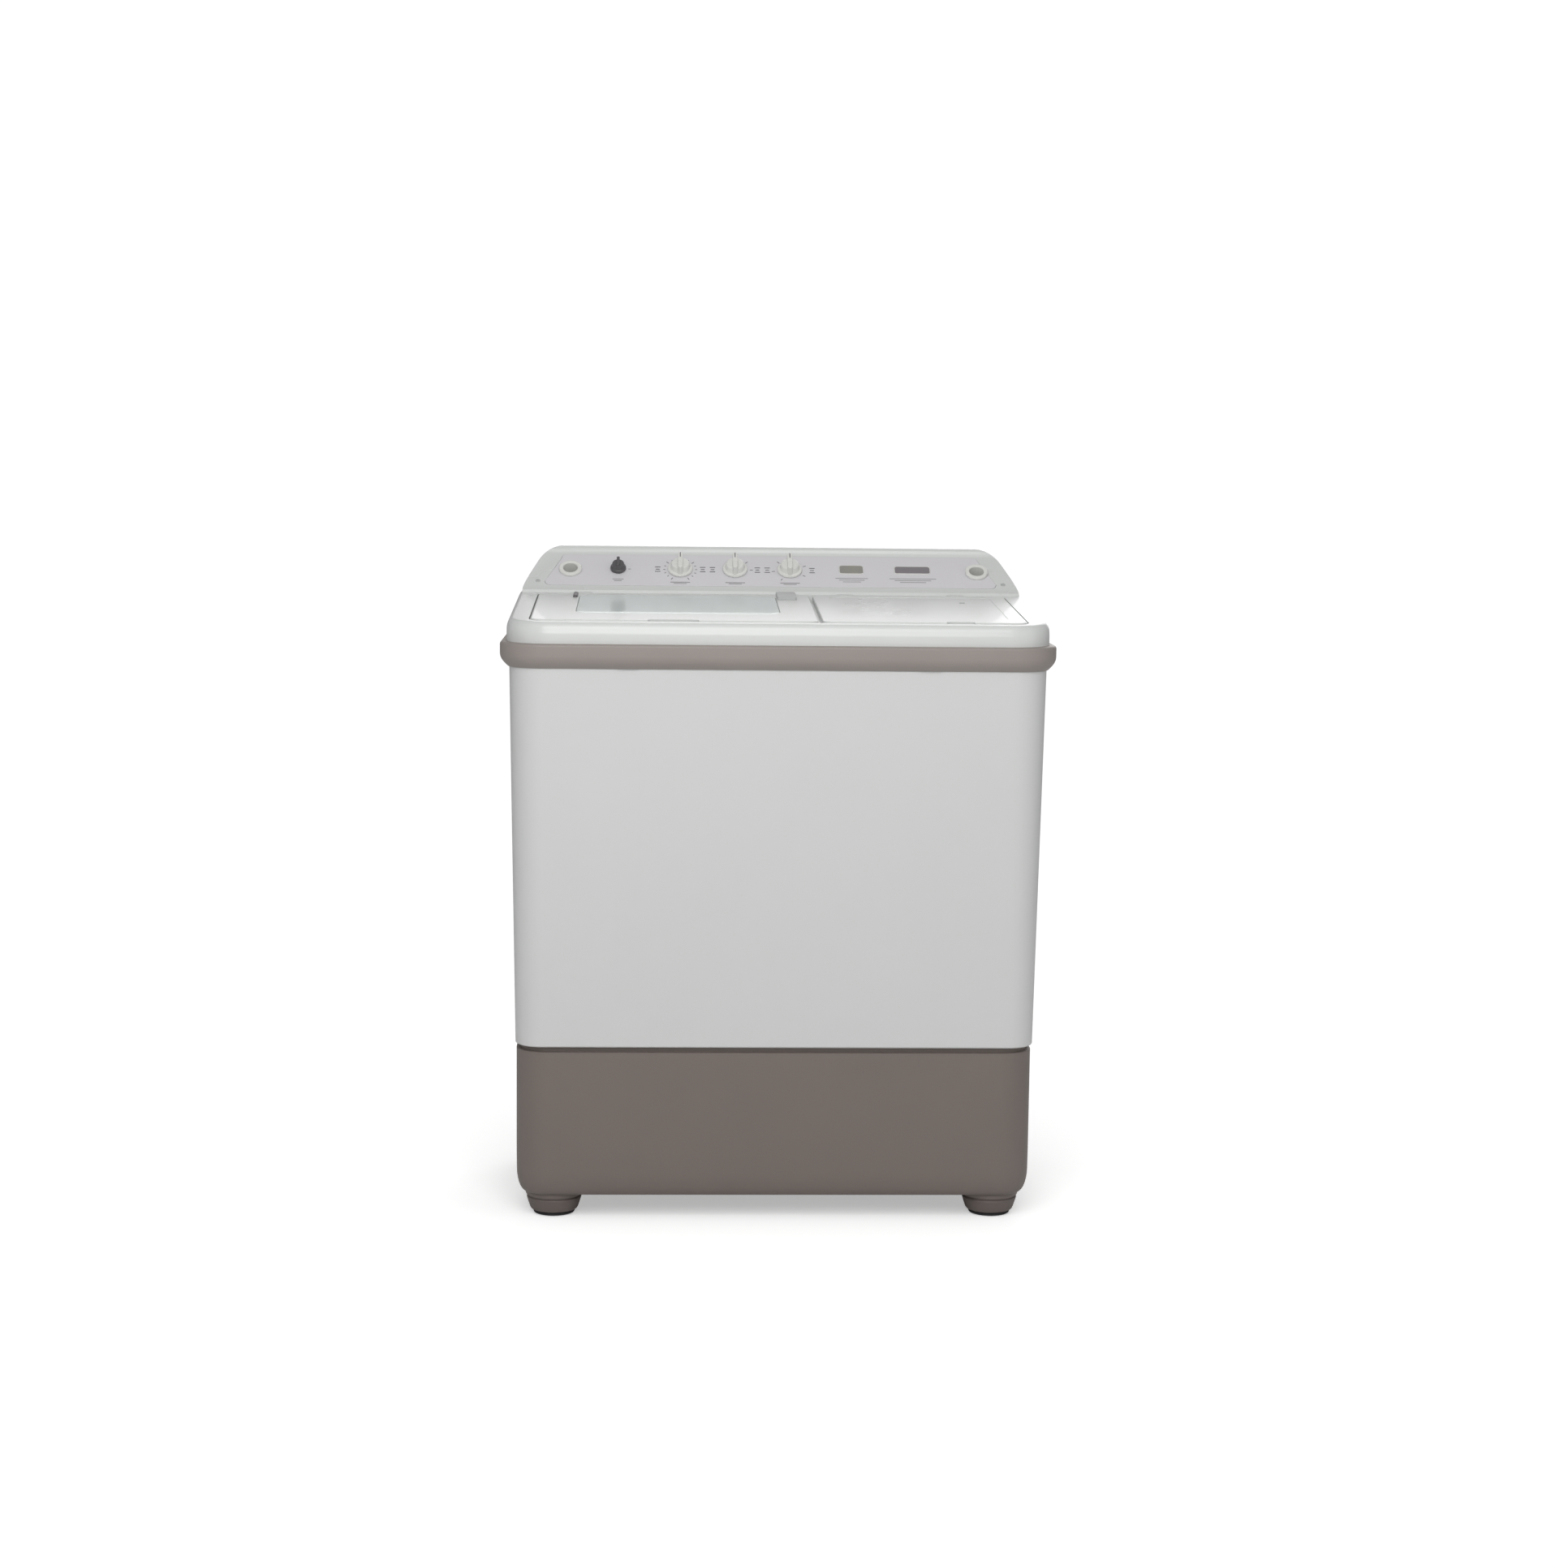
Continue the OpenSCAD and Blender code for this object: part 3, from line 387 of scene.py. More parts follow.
def drawn_outline(name, corners, move):
    """Flat outline drawn out along move into a closed solid."""
    mesh = bpy.data.meshes.new(name)
    mesh.from_pydata(corners, [], [list(range(len(corners)))])
    o = bpy.data.objects.new(name, mesh)
    bpy.context.collection.objects.link(o)
    pick(o, "FACE", lambda f: True)
    bpy.ops.mesh.extrude_region_move(TRANSFORM_OT_translate={"value": move})
    bpy.ops.mesh.select_all(action="SELECT")
    bpy.ops.mesh.normals_make_consistent(inside=False)
    bpy.ops.object.mode_set(mode="OBJECT")
    return o


def side_profile(name, points, width):
    """Outline in Y and Z, drawn out to a width along X."""
    return drawn_outline(name, [(-width / 2, y, z) for y, z in points], (width, 0, 0))


def front_profile(name, points, y0, y1):
    """Outline in X and Z, drawn out from y0 to y1."""
    return drawn_outline(name, [(x, y0, z) for x, z in points], (0, y1 - y0, 0))


def console_half():
    """Right half of the console's front view, from the top middle round the shoulder to the foot."""
    cx, cz, r, last = 0.316, 0.9056, 0.048, math.radians(32)
    arc = [(cx + r * math.cos(a), cz + r * math.sin(a))
           for a in [math.pi / 2 + (last - math.pi / 2) * i / 14 for i in range(15)]]
    slope = [(0.3685, 0.9122), (0.3750, 0.9005), (0.3782, 0.8930), (0.3790, 0.8860), (0.3790, 0.84)]
    return arc + slope


def film_blank(name, margin, z, thickness):
    """Panel outline, narrower towards the top, with round corners."""
    width, foot, head = 0.690 + 2 * margin, 0.0035 - margin, 0.0765 + margin
    film = block(name, (width, head - foot, thickness), (0, (head + foot) / 2, z), 0.009, 8)
    pick(film, "VERT", lambda v: v.co.y > 0.04)
    bpy.ops.transform.resize(value=(0.930, 1, 1), center_override=(0, 0, 0))
    bpy.ops.object.mode_set(mode="OBJECT")
    return film


def make_deck():
    """Tray for the two lids and the console behind it, made as one blank and then parted."""
    deck = block("deck_shell", (0.772, 0.444, 0.013), (0, 0, 0.834), 0.062, 16)
    grow(deck, curl(0.009, 0.017, 7))
    tilt(deck, 0.8475, (0, -0.212, 0.864), DECK_SLOPE)
    half = console_half()
    outline = [(-x, z) for x, z in reversed(half)] + half[1:]
    back = side_profile("console", [
        (0.1345, 0.845), (0.1345, 0.883), (0.1375, 0.8895), (0.146, 0.894), (0.2085, 0.9411), (0.2106, 0.9455),
        (0.2118, 0.950), (0.2142, 0.9527), (0.217, 0.9536), (0.2196, 0.9527), (0.2214, 0.9502), (0.222, 0.946),
        (0.222, 0.845)], 0.80)
    cut(back, front_profile("console_shape", outline, 0.10, 0.25), operation="INTERSECT")
    cut(back, block("console_plan", (0.772, 0.444, 0.16), (0, 0, 0.82), 0.062, 16), operation="INTERSECT")
    cut(deck, back, operation="UNION")
    # hollow from below, under a plate and a wall of 4 mm
    hollow = block("hollow", (0.764, 0.436, 0.013), (0, 0, 0.830), 0.058, 12)
    grow(hollow, curl(0.008, 0.014, 4))
    tilt(hollow, 0.8435, (0, -0.210, 0.853), DECK_SLOPE)
    cut(deck, hollow)
    cavity = side_profile("cavity", [(0.141, 0.835), (0.141, 0.872), (0.149, 0.888), (0.2095, 0.934),
                                     (0.2125, 0.944), (0.218, 0.944), (0.218, 0.835)], 0.70)
    shape = [(x * 0.965, z - 0.005) for x, z in outline]
    cut(cavity, front_profile("cavity_shape", shape, 0.10, 0.25), operation="INTERSECT")
    cut(cavity, block("cavity_plan", (0.762, 0.434, 0.16), (0, 0, 0.82), 0.057, 16), operation="INTERSECT")
    cut(deck, cavity)
    recess = settle(block("recess", (0.708, 0.325, 0.05), (0, 0.1685, -0.008), 0.020, 8), DECK)
    wash_mouth = block("mouth", (0.372, 0.300, 0.12), (*WASH, 0.80), 0.044, 12)
    spin_mouth = settle(turned("mouth", [(0.128, 0.80), (0.128, 0.92)], 64), Matrix.Translation((*SPIN, 0)))
    cut(deck, recess, wash_mouth, spin_mouth)
    for x in HINGE_X["wash"] + HINGE_X["spin"]:
        cut(deck, settle(block("pocket", (0.026, 0.0148, 0.016), (x, 0.3344, -0.010)), DECK))
    cut(deck, settle(film_blank("film_seat", 0.0004, -0.0026, 0.012), PANEL))
    for x in PORT_X:
        cut(deck, settle(turned("port_hole", [(0.015, -0.04), (0.015, 0.01)]),
                         PANEL @ Matrix.Translation((x, PORT_Y, 0))))
    # the tray and the console behind it are two mouldings, parted behind the lids
    console = bpy.data.objects.new("rear_console_shell", deck.data.copy())
    bpy.context.collection.objects.link(console)
    for part, side in ((deck, -1), (console, 1)):
        choose(part)
        bpy.ops.object.mode_set(mode="EDIT")
        bpy.ops.mesh.select_all(action="SELECT")
        bpy.ops.mesh.bisect(plane_co=(0, CONSOLE_Y + side * 0.0001, 0), plane_no=(0, side, 0), use_fill=True,
                            clear_inner=True)
        bpy.ops.object.mode_set(mode="OBJECT")
    hand_over(console, "machine", "shell_white", ("rear_console",), 0.0004, 28)
    return hand_over(deck, "machine", "shell_white", ("top_deck",), 0.0007, 28)


# ---------------------------------------------------------------- controls

def on_panel(x, y=DIAL_Y, z=0.0):
    return PANEL @ Matrix.Translation((x, y, z))


def make_knob(name, x, body, replaced, r=0.019):
    """Skirted knob with a gripping bar, finger flutes round the skirt and a pointer line."""
    skirt = turned(name, [(r, 0.0015), (r, 0.0036), (r - 0.0006, 0.0046), (r - 0.0018, 0.0052),
                          (r - 0.0036, 0.0056), (r - 0.0044, 0.0070), (r - 0.0049, 0.0120),
                          (r - 0.0056, 0.0136), (r - 0.0070, 0.0146), (r - 0.0095, 0.0150)], 72)
    grip = block("grip", (0.0078, 2 * r - 0.003, 0.0150), (0, 0, 0.0046), 0.0038, 8)
    grow(grip, curl(0.0016, 0.0014, 4))
    cut(skirt, grip, operation="UNION")
    flutes = []
    for i in range(24):
        flute = turned("flute", [(0.0011, 0.0), (0.0011, 0.006)], 10)
        spoke = Matrix.Rotation(math.radians(15 * i + 7.5), 4, "Z")
        flutes.append(settle(flute, spoke @ Matrix.Translation((r + 0.0005, 0, 0))))
    cut(skirt, merge("flutes", flutes))
    line = block(name + "_line", (0.0012, 0.0105, 0.0004), (0, r - 0.0075, 0.02095), 0.0004, 3)
    grow(line, [(0.0002, 0.0001)])
    settle(skirt, on_panel(x))
    settle(line, on_panel(x))
    hand_over(line, body, "dark_plastic", (), 0, 30, INK)
    return hand_over(skirt, body, "knob_white", replaced, 0.0004, 30)


def make_selector(name, x, body, replaced):
    """Small dark knob with a raised nose."""
    cap = turned(name, [(0.012, 0.0015), (0.012, 0.0038), (0.0114, 0.0052), (0.0098, 0.0062), (0.0092, 0.0110),
                        (0.0084, 0.0128), (0.0066, 0.0136)], 48)
    nose = block("nose", (0.0046, 0.0200, 0.0128), (0, 0, 0.0040), 0.0022, 6)
    grow(nose, curl(0.0010, 0.0008, 3))
    cut(cap, nose, operation="UNION")
    settle(cap, on_panel(x))
    return hand_over(cap, body, "dark_plastic", replaced, 0.0004, 30, GRIP_FINISH)


def make_inlets():
    """Funnel-mouthed rings that the tap hoses push into."""
    rings = []
    for x in PORT_X:
        ring = turned("ring", [(0.0133, -0.028), (0.0133, 0.0006), (0.0168, 0.0006), (0.0175, 0.0012),
                               (0.0175, 0.0034), (0.0170, 0.0044), (0.0160, 0.0050), (0.0126, 0.0050),
                               (0.0116, 0.0046), (0.0110, 0.0036), (0.0110, -0.028)], 64, open_end=True)
        rings.append(settle(ring, on_panel(x, PORT_Y)))
    return hand_over(merge("inlet_rings", rings), "machine", "knob_white", ("inlet_ports",), 0.0003, 30)


def make_marks():
    """Printed ticks round the dials, and plain bars where the legends stand."""
    dark, pale = [], []

    def mark(pool, x, y, w, h, turn=0.0):
        m = block("mark", (w, h, 0.00012), (0, 0, 0), min(w, h) * 0.3, 2)
        settle(m, on_panel(x, y, FILM_TOP) @ Matrix.Rotation(turn, 4, "Z"))
        pool.append(m)

    for dial, count, start, stop in (("wash", 16, -60, 240), ("selector", 3, 0, 90), ("spin", 6, -30, 240)):
        x = DIAL_X[dial]
        for i in range(count):
            a = math.radians(start + (stop - start) * i / max(count - 1, 1))
            big = i % 5 == 0 or count < 10
            reach, length = (0.0252, 0.0048) if big else (0.0244, 0.0030)
            mark(dark, x + reach * math.cos(a), DIAL_Y + reach * math.sin(a), length, 0.0011, a)
        for side in (-1, 1):
            for k, w in enumerate((0.0085, 0.0060, 0.0085)):
                mark(dark, x + side * 0.0345, 0.0475 - 0.0052 * k, w, 0.0016)
        mark(pale, x, 0.0118, 0.030, 0.0016)
        mark(pale, x, 0.0088, 0.020, 0.0013)
    x, reach = DIAL_X["water"], 0.0175
    for a in (math.radians(0), math.radians(90)):
        mark(dark, x + reach * math.cos(a), DIAL_Y + reach * math.sin(a), 0.0040, 0.0011, a)
    for k, w in enumerate((0.017, 0.012)):
        mark(pale, x, 0.0180 - 0.0036 * k, w, 0.0014)
    for side, w in (("left", 0.050), ("right", 0.072)):
        for k in range(3):
            mark(pale, BADGE_X[side], 0.0245 - 0.0042 * k, w * (1 - 0.22 * k), 0.0012)
    hand_over(merge("dial_marks", dark), "machine", "dark_plastic", (), 0, 30, INK)
    hand_over(merge("legend_bars", pale), "machine", "panel_film", (), 0, 30, INK_PALE)


def make_film():
    """Panel sheet with its holes for the dials and the hose rings."""
    film = film_blank("panel_film_sheet", 0, -0.0025, 0.0026)
    grow(film, curl(0.0005, 0.0004, 3))
    tools = [settle(turned("hole", [(0.0045, -0.005), (0.0045, 0.005)]), Matrix.Translation((x, DIAL_Y, 0)))
             for x in DIAL_X.values()]
    tools += [settle(turned("hole", [(0.0138, -0.005), (0.0138, 0.005)]), Matrix.Translation((x, PORT_Y, 0)))
              for x in PORT_X]
    cut(film, merge("holes", tools))
    settle(film, PANEL)
    return hand_over(film, "machine", "panel_film", ("control_panel",), 0, 25)


def make_badges():
    """Two plain domed plates in thin raised rims, each with a dark bar near its top edge."""
    rims, bars = [], []
    for side, w, h, finish in (("left", 0.038, 0.0210, EMBLEM_FINISH), ("right", 0.056, 0.0185, MARQUE_FINISH)):
        place = on_panel(BADGE_X[side], 0.0445)
        rim = block("rim", (w, h, 0.0007), (0, 0, 0.0005), 0.0050, 10)
        grow(rim, [(0.0003, 0.0004), (0.0007, 0), (0.0002, -0.0005)])
        rims.append(settle(rim, place))
        plate = block("badge_plate_" + side, (w - 0.0026, h - 0.0026, 0.0007), (0, 0, 0.0006), 0.0037, 10)
        grow(plate, curl(0.0016, 0.0006, 4))
        settle(plate, place)
        hand_over(plate, "machine", "dark_plastic", ("badge",), 0, 35, finish)
        bar = block("bar", (w - 0.012, 0.0024, 0.0010), (0, h * 0.5 - 0.0056, 0.0006), 0.0010, 4)
        bars.append(settle(bar, place))
    hand_over(merge("badge_rims", rims), "machine", "knob_white", (), 0, 35)
    hand_over(merge("badge_bars", bars), "machine", "dark_plastic", (), 0.0001, 35, BADGE_GREY_AND_PAINTED_SHADE)


# ---------------------------------------------------------------- lids

def on_deck(x, y, z=0.0):
    return DECK @ Matrix.Translation((x, y, z))


def lid_blank(name, x0, x1, notch):
    """Lid with soft edges and a turned-down rim, cut away at the front for the fingers."""
    w, d = x1 - x0, LID_Y[1] - LID_Y[0]
    at = ((x0 + x1) / 2, (LID_Y[0] + LID_Y[1]) / 2)
    lid = block(name, (w, d, 0.0056), (*at, -0.0076), 0.016, 10)
    grow(lid, [(0.0034, 0), (0, -0.0036)], -1)
    grow(lid, curl(0.0024, 0.0020, 5))
    gap = block("notch", (notch[1] - notch[0], 0.018, 0.04),
                ((notch[0] + notch[1]) / 2, LID_Y[0], -0.02), 0.006, 6)
    return cut(lid, gap)


def lid_lugs(lid, xs):
    """Hinge lugs behind the lid, bored for the pin."""
    for x in xs:
        lug = settle(turned("lug", [(0.0043, -0.012), (0.0043, 0.012)], 28),
                     Matrix.Translation((x, *HINGE)) @ Matrix.Rotation(math.radians(90), 4, "Y"))
        cut(lug, block("arm", (0.024, 0.0115, 0.0068), (x, 0.33075, -0.0073)), operation="UNION")
        bore = settle(turned("bore", [(0.0026, -0.02), (0.0026, 0.02)], 24),
                      Matrix.Translation((x, *HINGE)) @ Matrix.Rotation(math.radians(90), 4, "Y"))
        cut(lid, cut(lug, bore), operation="UNION")


def ribs(name, spans, z, height):
    """Thin stiffening ribs under a lid: spans are (x0, y0, x1, y1)."""
    made = []
    for x0, y0, x1, y1 in spans:
        rib = block("rib", (max(x1 - x0, 0.0014), max(y1 - y0, 0.0014), height),
                    ((x0 + x1) / 2, (y0 + y1) / 2, z), 0.0004, 2)
        made.append(rib)
    return merge(name, made)


def make_wash_lid():
    lid = lid_blank("wash_lid_shell", -0.352, 0.055, (-0.186, -0.114))
    low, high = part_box("wash_lid_window")
    win = ((low[0] + high[0]) / 2, (0.084 + 0.300) / 2)
    size = (high[0] - low[0] + 0.0008, 0.216)
    cut(lid, block("ledge", (size[0] + 0.012, size[1] + 0.012, 0.004), (*win, -0.0071), 0.030, 12),
        operation="UNION")
    cut(lid, block("seat", (size[0] + 0.0006, size[1] + 0.0006, 0.02), (*win, -0.003), 0.0243, 14))
    cut(lid, block("light", (size[0] - 0.010, size[1] - 0.010, 0.06), (*win, -0.03), 0.019, 14))
    lid_lugs(lid, HINGE_X["wash"])
    under = ribs("ribs", [(x, 0.012, x, 0.078) for x in (-0.300, -0.235, -0.065, 0.000)]
                 + [(-0.346, 0.078, 0.050, 0.078), (0.030, 0.082, 0.030, 0.322), (-0.304, 0.082, -0.304, 0.322),
                    (0.012, 0.200, 0.050, 0.200), (-0.346, 0.200, -0.304, 0.200)], -0.0072, 0.0036)
    settle(lid, DECK)
    settle(under, DECK)
    hand_over(under, "wash_lid_body", "shell_white", (), 0, 30)
    hand_over(lid, "wash_lid_body", "shell_white", ("wash_lid",), 0.0005, 28)

    pane = block("window_pane", (size[0] - 0.0008, size[1] - 0.0008, 0.0026), (*win, -0.0029), 0.0236, 14)
    grow(pane, [(0.0004, 0.0004), (0.0008, 0.0003), (0.0040, 0.0001)] + [(0.006, 0.0001)] * 2)
    settle(pane, DECK)
    hand_over(pane, "wash_lid_body", "window_aqua", ("wash_lid_window",), 0, 20)

    # The dark left stud is painted shade: a dark block put where the pocket beside the left hinge lies in
    # shadow.
    for name, x, y, w, d, rise, finish in (
            ("painted_shade_stud_left", -0.2960, 0.2920, 0.0068, 0.046, 0.0032, BADGE_GREY_AND_PAINTED_SHADE),
            ("hinge_cover_right", 0.0200, 0.2890, 0.0290, 0.064, 0.0048, PLATE_FINISH)):
        cover = block(name, (w, d, rise - 0.0011), (x, y, -0.0003), 0.003, 6)
        grow(cover, curl(0.0020, 0.0016, 5))
        settle(cover, DECK)
        hand_over(cover, "wash_lid_body", "dark_plastic", (), 0, 30, finish)


def make_spin_lid():
    lid = lid_blank("spin_lid_shell", 0.061, 0.352, (0.236, 0.276))
    strip = block("strip", (0.066, 0.0022, 0.0036), (0.199, 0.3269, -0.0076))
    cut(lid, strip, operation="UNION")
    lid_lugs(lid, HINGE_X["spin"])
    # shallow field pressed into the top, inside a soft step
    field = block("field", (0.243, 0.262, 0.01), (0.2065, 0.172, -0.0006), 0.014, 8)
    cut(lid, field)
    slot = block("slot", (0.066, 0.0022, 0.01), (0.199, 0.3115, -0.0012), 0.001, 3)
    cut(lid, slot)
    under = ribs("ribs", [(x, 0.012, x, 0.324) for x in (0.100, 0.155, 0.2065, 0.258, 0.312)]
                 + [(0.066, y, 0.347, y) for y in (0.060, 0.168, 0.276)], -0.0072, 0.0036)
    settle(lid, DECK)
    settle(under, DECK)
    hand_over(under, "spin_lid_body", "shell_white", (), 0, 30)
    hand_over(lid, "spin_lid_body", "shell_white", ("spin_lid",), 0.0005, 28)
    # Dark strip laid in the groove: painted shade, standing for the shadow along the groove.
    groove_shade_strip = block("slot_painted_shade_strip", (0.0655, 0.0017, 0.0007), (0.199, 0.3115, -0.0013), 0.0008, 3)
    settle(groove_shade_strip, DECK)
    hand_over(groove_shade_strip, "spin_lid_body", "dark_plastic", (), 0, 30, BADGE_GREY_AND_PAINTED_SHADE)
    plug = turned("lid_plug", [(0.0042, -0.0008), (0.0042, 0.0002), (0.0034, 0.0007), (0.0016, 0.0009)], 28)
    settle(plug, on_deck(0.281, 0.2424))
    hand_over(plug, "spin_lid_body", "dark_plastic", (), 0, 30, PLATE_FINISH)


def make_screw_caps():
    """Two small caps over the screws that hold the panel's corners."""
    caps = []
    for x in (-0.356, 0.356):
        cap = turned("cap", [(0.0036, -0.002), (0.0036, 0.0003), (0.0030, 0.0008), (0.0014, 0.0010)], 24)
        cut(cap, block("slit", (0.0060, 0.0010, 0.004), (0, 0, 0.0006)))
        caps.append(settle(cap, on_panel(x, 0.013)))
    hand_over(merge("corner_caps", caps), "machine", "dark_plastic", (), 0, 30, PLATE_FINISH)


# ---------------------------------------------------------------- feet and back

def make_feet():
    feet, pads = [], []
    for sx, sy in CORNERS:
        at = Matrix.Translation((sx * FOOT_AT[0], sy * FOOT_AT[1], 0))
        foot = turned("foot", [(0.0330, 0.006), (0.0345, 0.0078), (0.0356, 0.0105), (0.0393, 0.0218),
                               (0.0398, 0.0238), (0.0392, 0.0252), (0.0380, 0.0256), (0.0380, FOOT_SEAT)], 64)
        feet.append(settle(foot, at))
        pad = turned("pad", [(0.0268, 0.0), (0.0292, 0.0006), (0.0300, 0.0018), (0.0300, 0.0042),
                             (0.0290, 0.0048), (0.0290, 0.0062)], 64)
        pads.append(settle(pad, at))
    hand_over(merge("feet_moulded", feet), "machine", "foot_brown", ("feet",), 0.0003, 30)
    hand_over(merge("foot_soles", pads), "machine", "rubber_black", ("foot_pads",), 0, 30)


def make_rear_cover():
    """Pressed service cover with a bead round it, hooded louvres and six cross-head screws."""
    wall = Matrix.Translation((0, 0.208, 0.256)) @ Matrix.Rotation(math.radians(-0.922), 4, "X") @ BACK_OUT
    cover = block("rear_cover_plate", (0.330, 0.320, 0.0020), (0, -0.185, 0.0001), 0.008, 6)
    grow(cover, [(0.0004, 0.0004), (0.0020, 0.0001)])
    bead = block("bead", (0.294, 0.284, 0.0016), (0, -0.185, 0.0012), 0.014, 8)
    grow(bead, curl(0.0022, 0.0010, 4))
    cut(bead, block("field", (0.282, 0.272, 0.01), (0, -0.185, -0.002), 0.009, 8))
    cut(cover, bead, operation="UNION")
    for i in range(6):
        hood = block("hood", (0.180, 0.0080, 0.0012), (0, -(0.223 + 0.018 * i), 0.0024), 0.0038, 5)
        grow(hood, curl(0.0026, 0.0019, 4))
        cut(cover, hood, operation="UNION")
        cut(cover, block("slit", (0.168, 0.0020, 0.010), (0, -(0.2185 + 0.018 * i), -0.002), 0.0009, 3))
    settle(cover, wall)
    hand_over(cover, "machine", "cabinet_grey", ("rear_cover",), 0.0002, 28)
    screws = []
    for x in (-0.158, 0.158):
        for z in (0.034, 0.185, 0.336):
            head = turned("head", [(0.0042, 0.0026), (0.0042, 0.0034), (0.0038, 0.0044), (0.0026, 0.0052),
                                   (0.0012, 0.0054)], 32)
            for turn in (0, 90):
                slit = block("slit", (0.0042, 0.0009, 0.004), (0, 0, 0.0040))
                cut(head, settle(slit, Matrix.Rotation(math.radians(turn + 20 * x / 0.158), 4, "Z")))
            screws.append(settle(head, wall @ Matrix.Translation((x, -z, 0))))
    hand_over(merge("rear_screw_heads", screws), "machine", "steel", ("rear_cover_screws",), 0, 30)


# ---------------------------------------------------------------- inside the wash tub

def make_wash_tub():
    """Deep tub with a rolled floor corner, standing ribs on its walls and a well for the pulsator."""
    x, y = WASH
    tub = block("wash_tub_moulding", (0.396, 0.324, 0.533), (x, y, 0.297), 0.060, 16)
    cut(tub, block("flange", (0.412, 0.340, 0.006), (x, y, 0.824), 0.068, 16), operation="UNION")
    well = settle(turned("well", [(0.151, 0.275), (0.151, 0.300)], 72), Matrix.Translation((x, y, 0)))
    cut(tub, well, operation="UNION")
    inside = block("inside", (0.390, 0.318, 0.560), (x, y, 0.322), 0.057, 16)
    grow(inside, curl(0.022, 0.022, 6), -1)
    cut(tub, inside)
    ribs_made = []
    for i in range(-4, 5):
        ribs_made.append(block("rib", (0.0070, 0.0046, 0.400), (x + 0.036 * i, y - 0.159, 0.350), 0.0022, 4))
    for i in range(-3, 4):
        for side in (-1, 1):
            ribs_made.append(block("rib", (0.0046, 0.0070, 0.400), (x + side * 0.195, y + 0.034 * i, 0.350),
                                   0.0022, 4))
    for rib in ribs_made:
        grow(rib, curl(0.0018, 0.012, 4))
    cut(tub, merge("standing_ribs", ribs_made), operation="UNION")
    for r, low in ((0.148, 0.278), (0.022, 0.260)):
        cut(tub, settle(turned("bore", [(r, low), (r, 0.330)], 72), Matrix.Translation((x, y, 0))))
    drain = turned("drain", [(0.013, 0.280), (0.013, 0.330)], 40)
    cut(tub, settle(drain, Matrix.Translation((*WASH_DRAIN, 0))))
    return hand_over(tub, "machine", "tub_plastic", ("wash_tub",), 0.0010, 30)


def make_pulsator():
    """Dished disc with six rounded vanes, a cap over its hub and a ring of water holes."""
    disc = turned("pulsator_moulding", [(0.134, 0.282), (0.1385, 0.2835), (0.140, 0.2862), (0.140, 0.2915),
                                        (0.1385, 0.2935), (0.136, 0.2940), (0.112, 0.2942), (0.090, 0.2966),
                                        (0.066, 0.3005), (0.046, 0.3058), (0.034, 0.3100), (0.024, 0.3120)], 96)
    for i in range(6):
        vane = block("vane", (0.100, 0.030, 0.0060), (0.078, 0, 0.2880), 0.0120, 8)
        grow(vane, curl(0.0108, 0.0200, 8))
        cut(disc, settle(vane, Matrix.Rotation(math.radians(60 * i + 15), 4, "Z")), operation="UNION")
    cap = turned("cap", [(0.026, 0.296), (0.026, 0.3130), (0.0245, 0.3160), (0.0210, 0.3176),
                         (0.0085, 0.3180)], 64)
    cut(disc, cap, operation="UNION")
    holes = [settle(turned("hole", [(0.003, 0.270), (0.003, 0.310)], 20),
                    Matrix.Rotation(math.radians(30 * i), 4, "Z") @ Matrix.Translation((0.118, 0, 0)))
             for i in range(12)]
    holes.append(turned("hub", [(0.007, 0.270), (0.007, 0.308)], 32))
    holes.append(turned("screw_hole", [(0.0076, 0.314), (0.0076, 0.330)], 32))
    cut(disc, merge("holes", holes))
    settle(disc, Matrix.Translation((*WASH, 0)))
    return hand_over(disc, "agitator", "blue_plastic", ("pulsator",), 0.0008, 35)


# ---------------------------------------------------------------- pieces that keep the frame's own shape

def refined(name, body, slot, edge=0.0006, steps=2, smooth=30):
    """A merged copy of a node, with its edges broken and its curves smooth."""
    source = frame["nodes"][name]
    o = bpy.data.objects.new(name + "_finished", source.data.copy())
    bpy.context.collection.objects.link(o)
    choose(o)
    bpy.ops.object.mode_set(mode="EDIT")
    bpy.ops.mesh.select_all(action="SELECT")
    bpy.ops.mesh.remove_doubles(threshold=2e-6)
    bpy.ops.mesh.dissolve_limited(angle_limit=math.radians(0.4))
    bpy.ops.object.mode_set(mode="OBJECT")
    if edge:
        modify(o, "BEVEL", width=edge, segments=steps, limit_method="ANGLE", angle_limit=math.radians(38),
               use_clamp_overlap=True)
    even_shading(o, smooth)
    o.data.materials.clear()
    o.data.materials.append(FINISH[slot])
    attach(o, body)
    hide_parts(name)
    return o


# width and steps of the broken edge, where it isn't the usual one
EDGE = {"splash_rings": (0.0012, 3), "spin_outer_tub": (0.0012, 2), "spin_basket": (0.0008, 2),
        "overflow_cover": (0.0010, 2), "lint_filter": (0.0008, 2), "wash_motor": (0.0012, 2),
        "spin_motor": (0.0012, 2)}


make_base()
make_cabinet()
make_band()
make_deck()
make_knob("wash_timer_grip", DIAL_X["wash"], "wash_timer_dial", ("wash_timer_knob",))
make_knob("selector_grip", DIAL_X["selector"], "selector_dial", ("selector_knob",))
make_knob("spin_timer_grip", DIAL_X["spin"], "spin_timer_dial", ("spin_timer_knob",))
make_selector("water_selector_grip", DIAL_X["water"], "water_selector_dial", ("water_selector_knob",))
make_inlets()
make_film()
make_badges()
make_marks()
make_wash_lid()
make_spin_lid()
make_screw_caps()
make_feet()
make_rear_cover()
make_wash_tub()
make_pulsator()

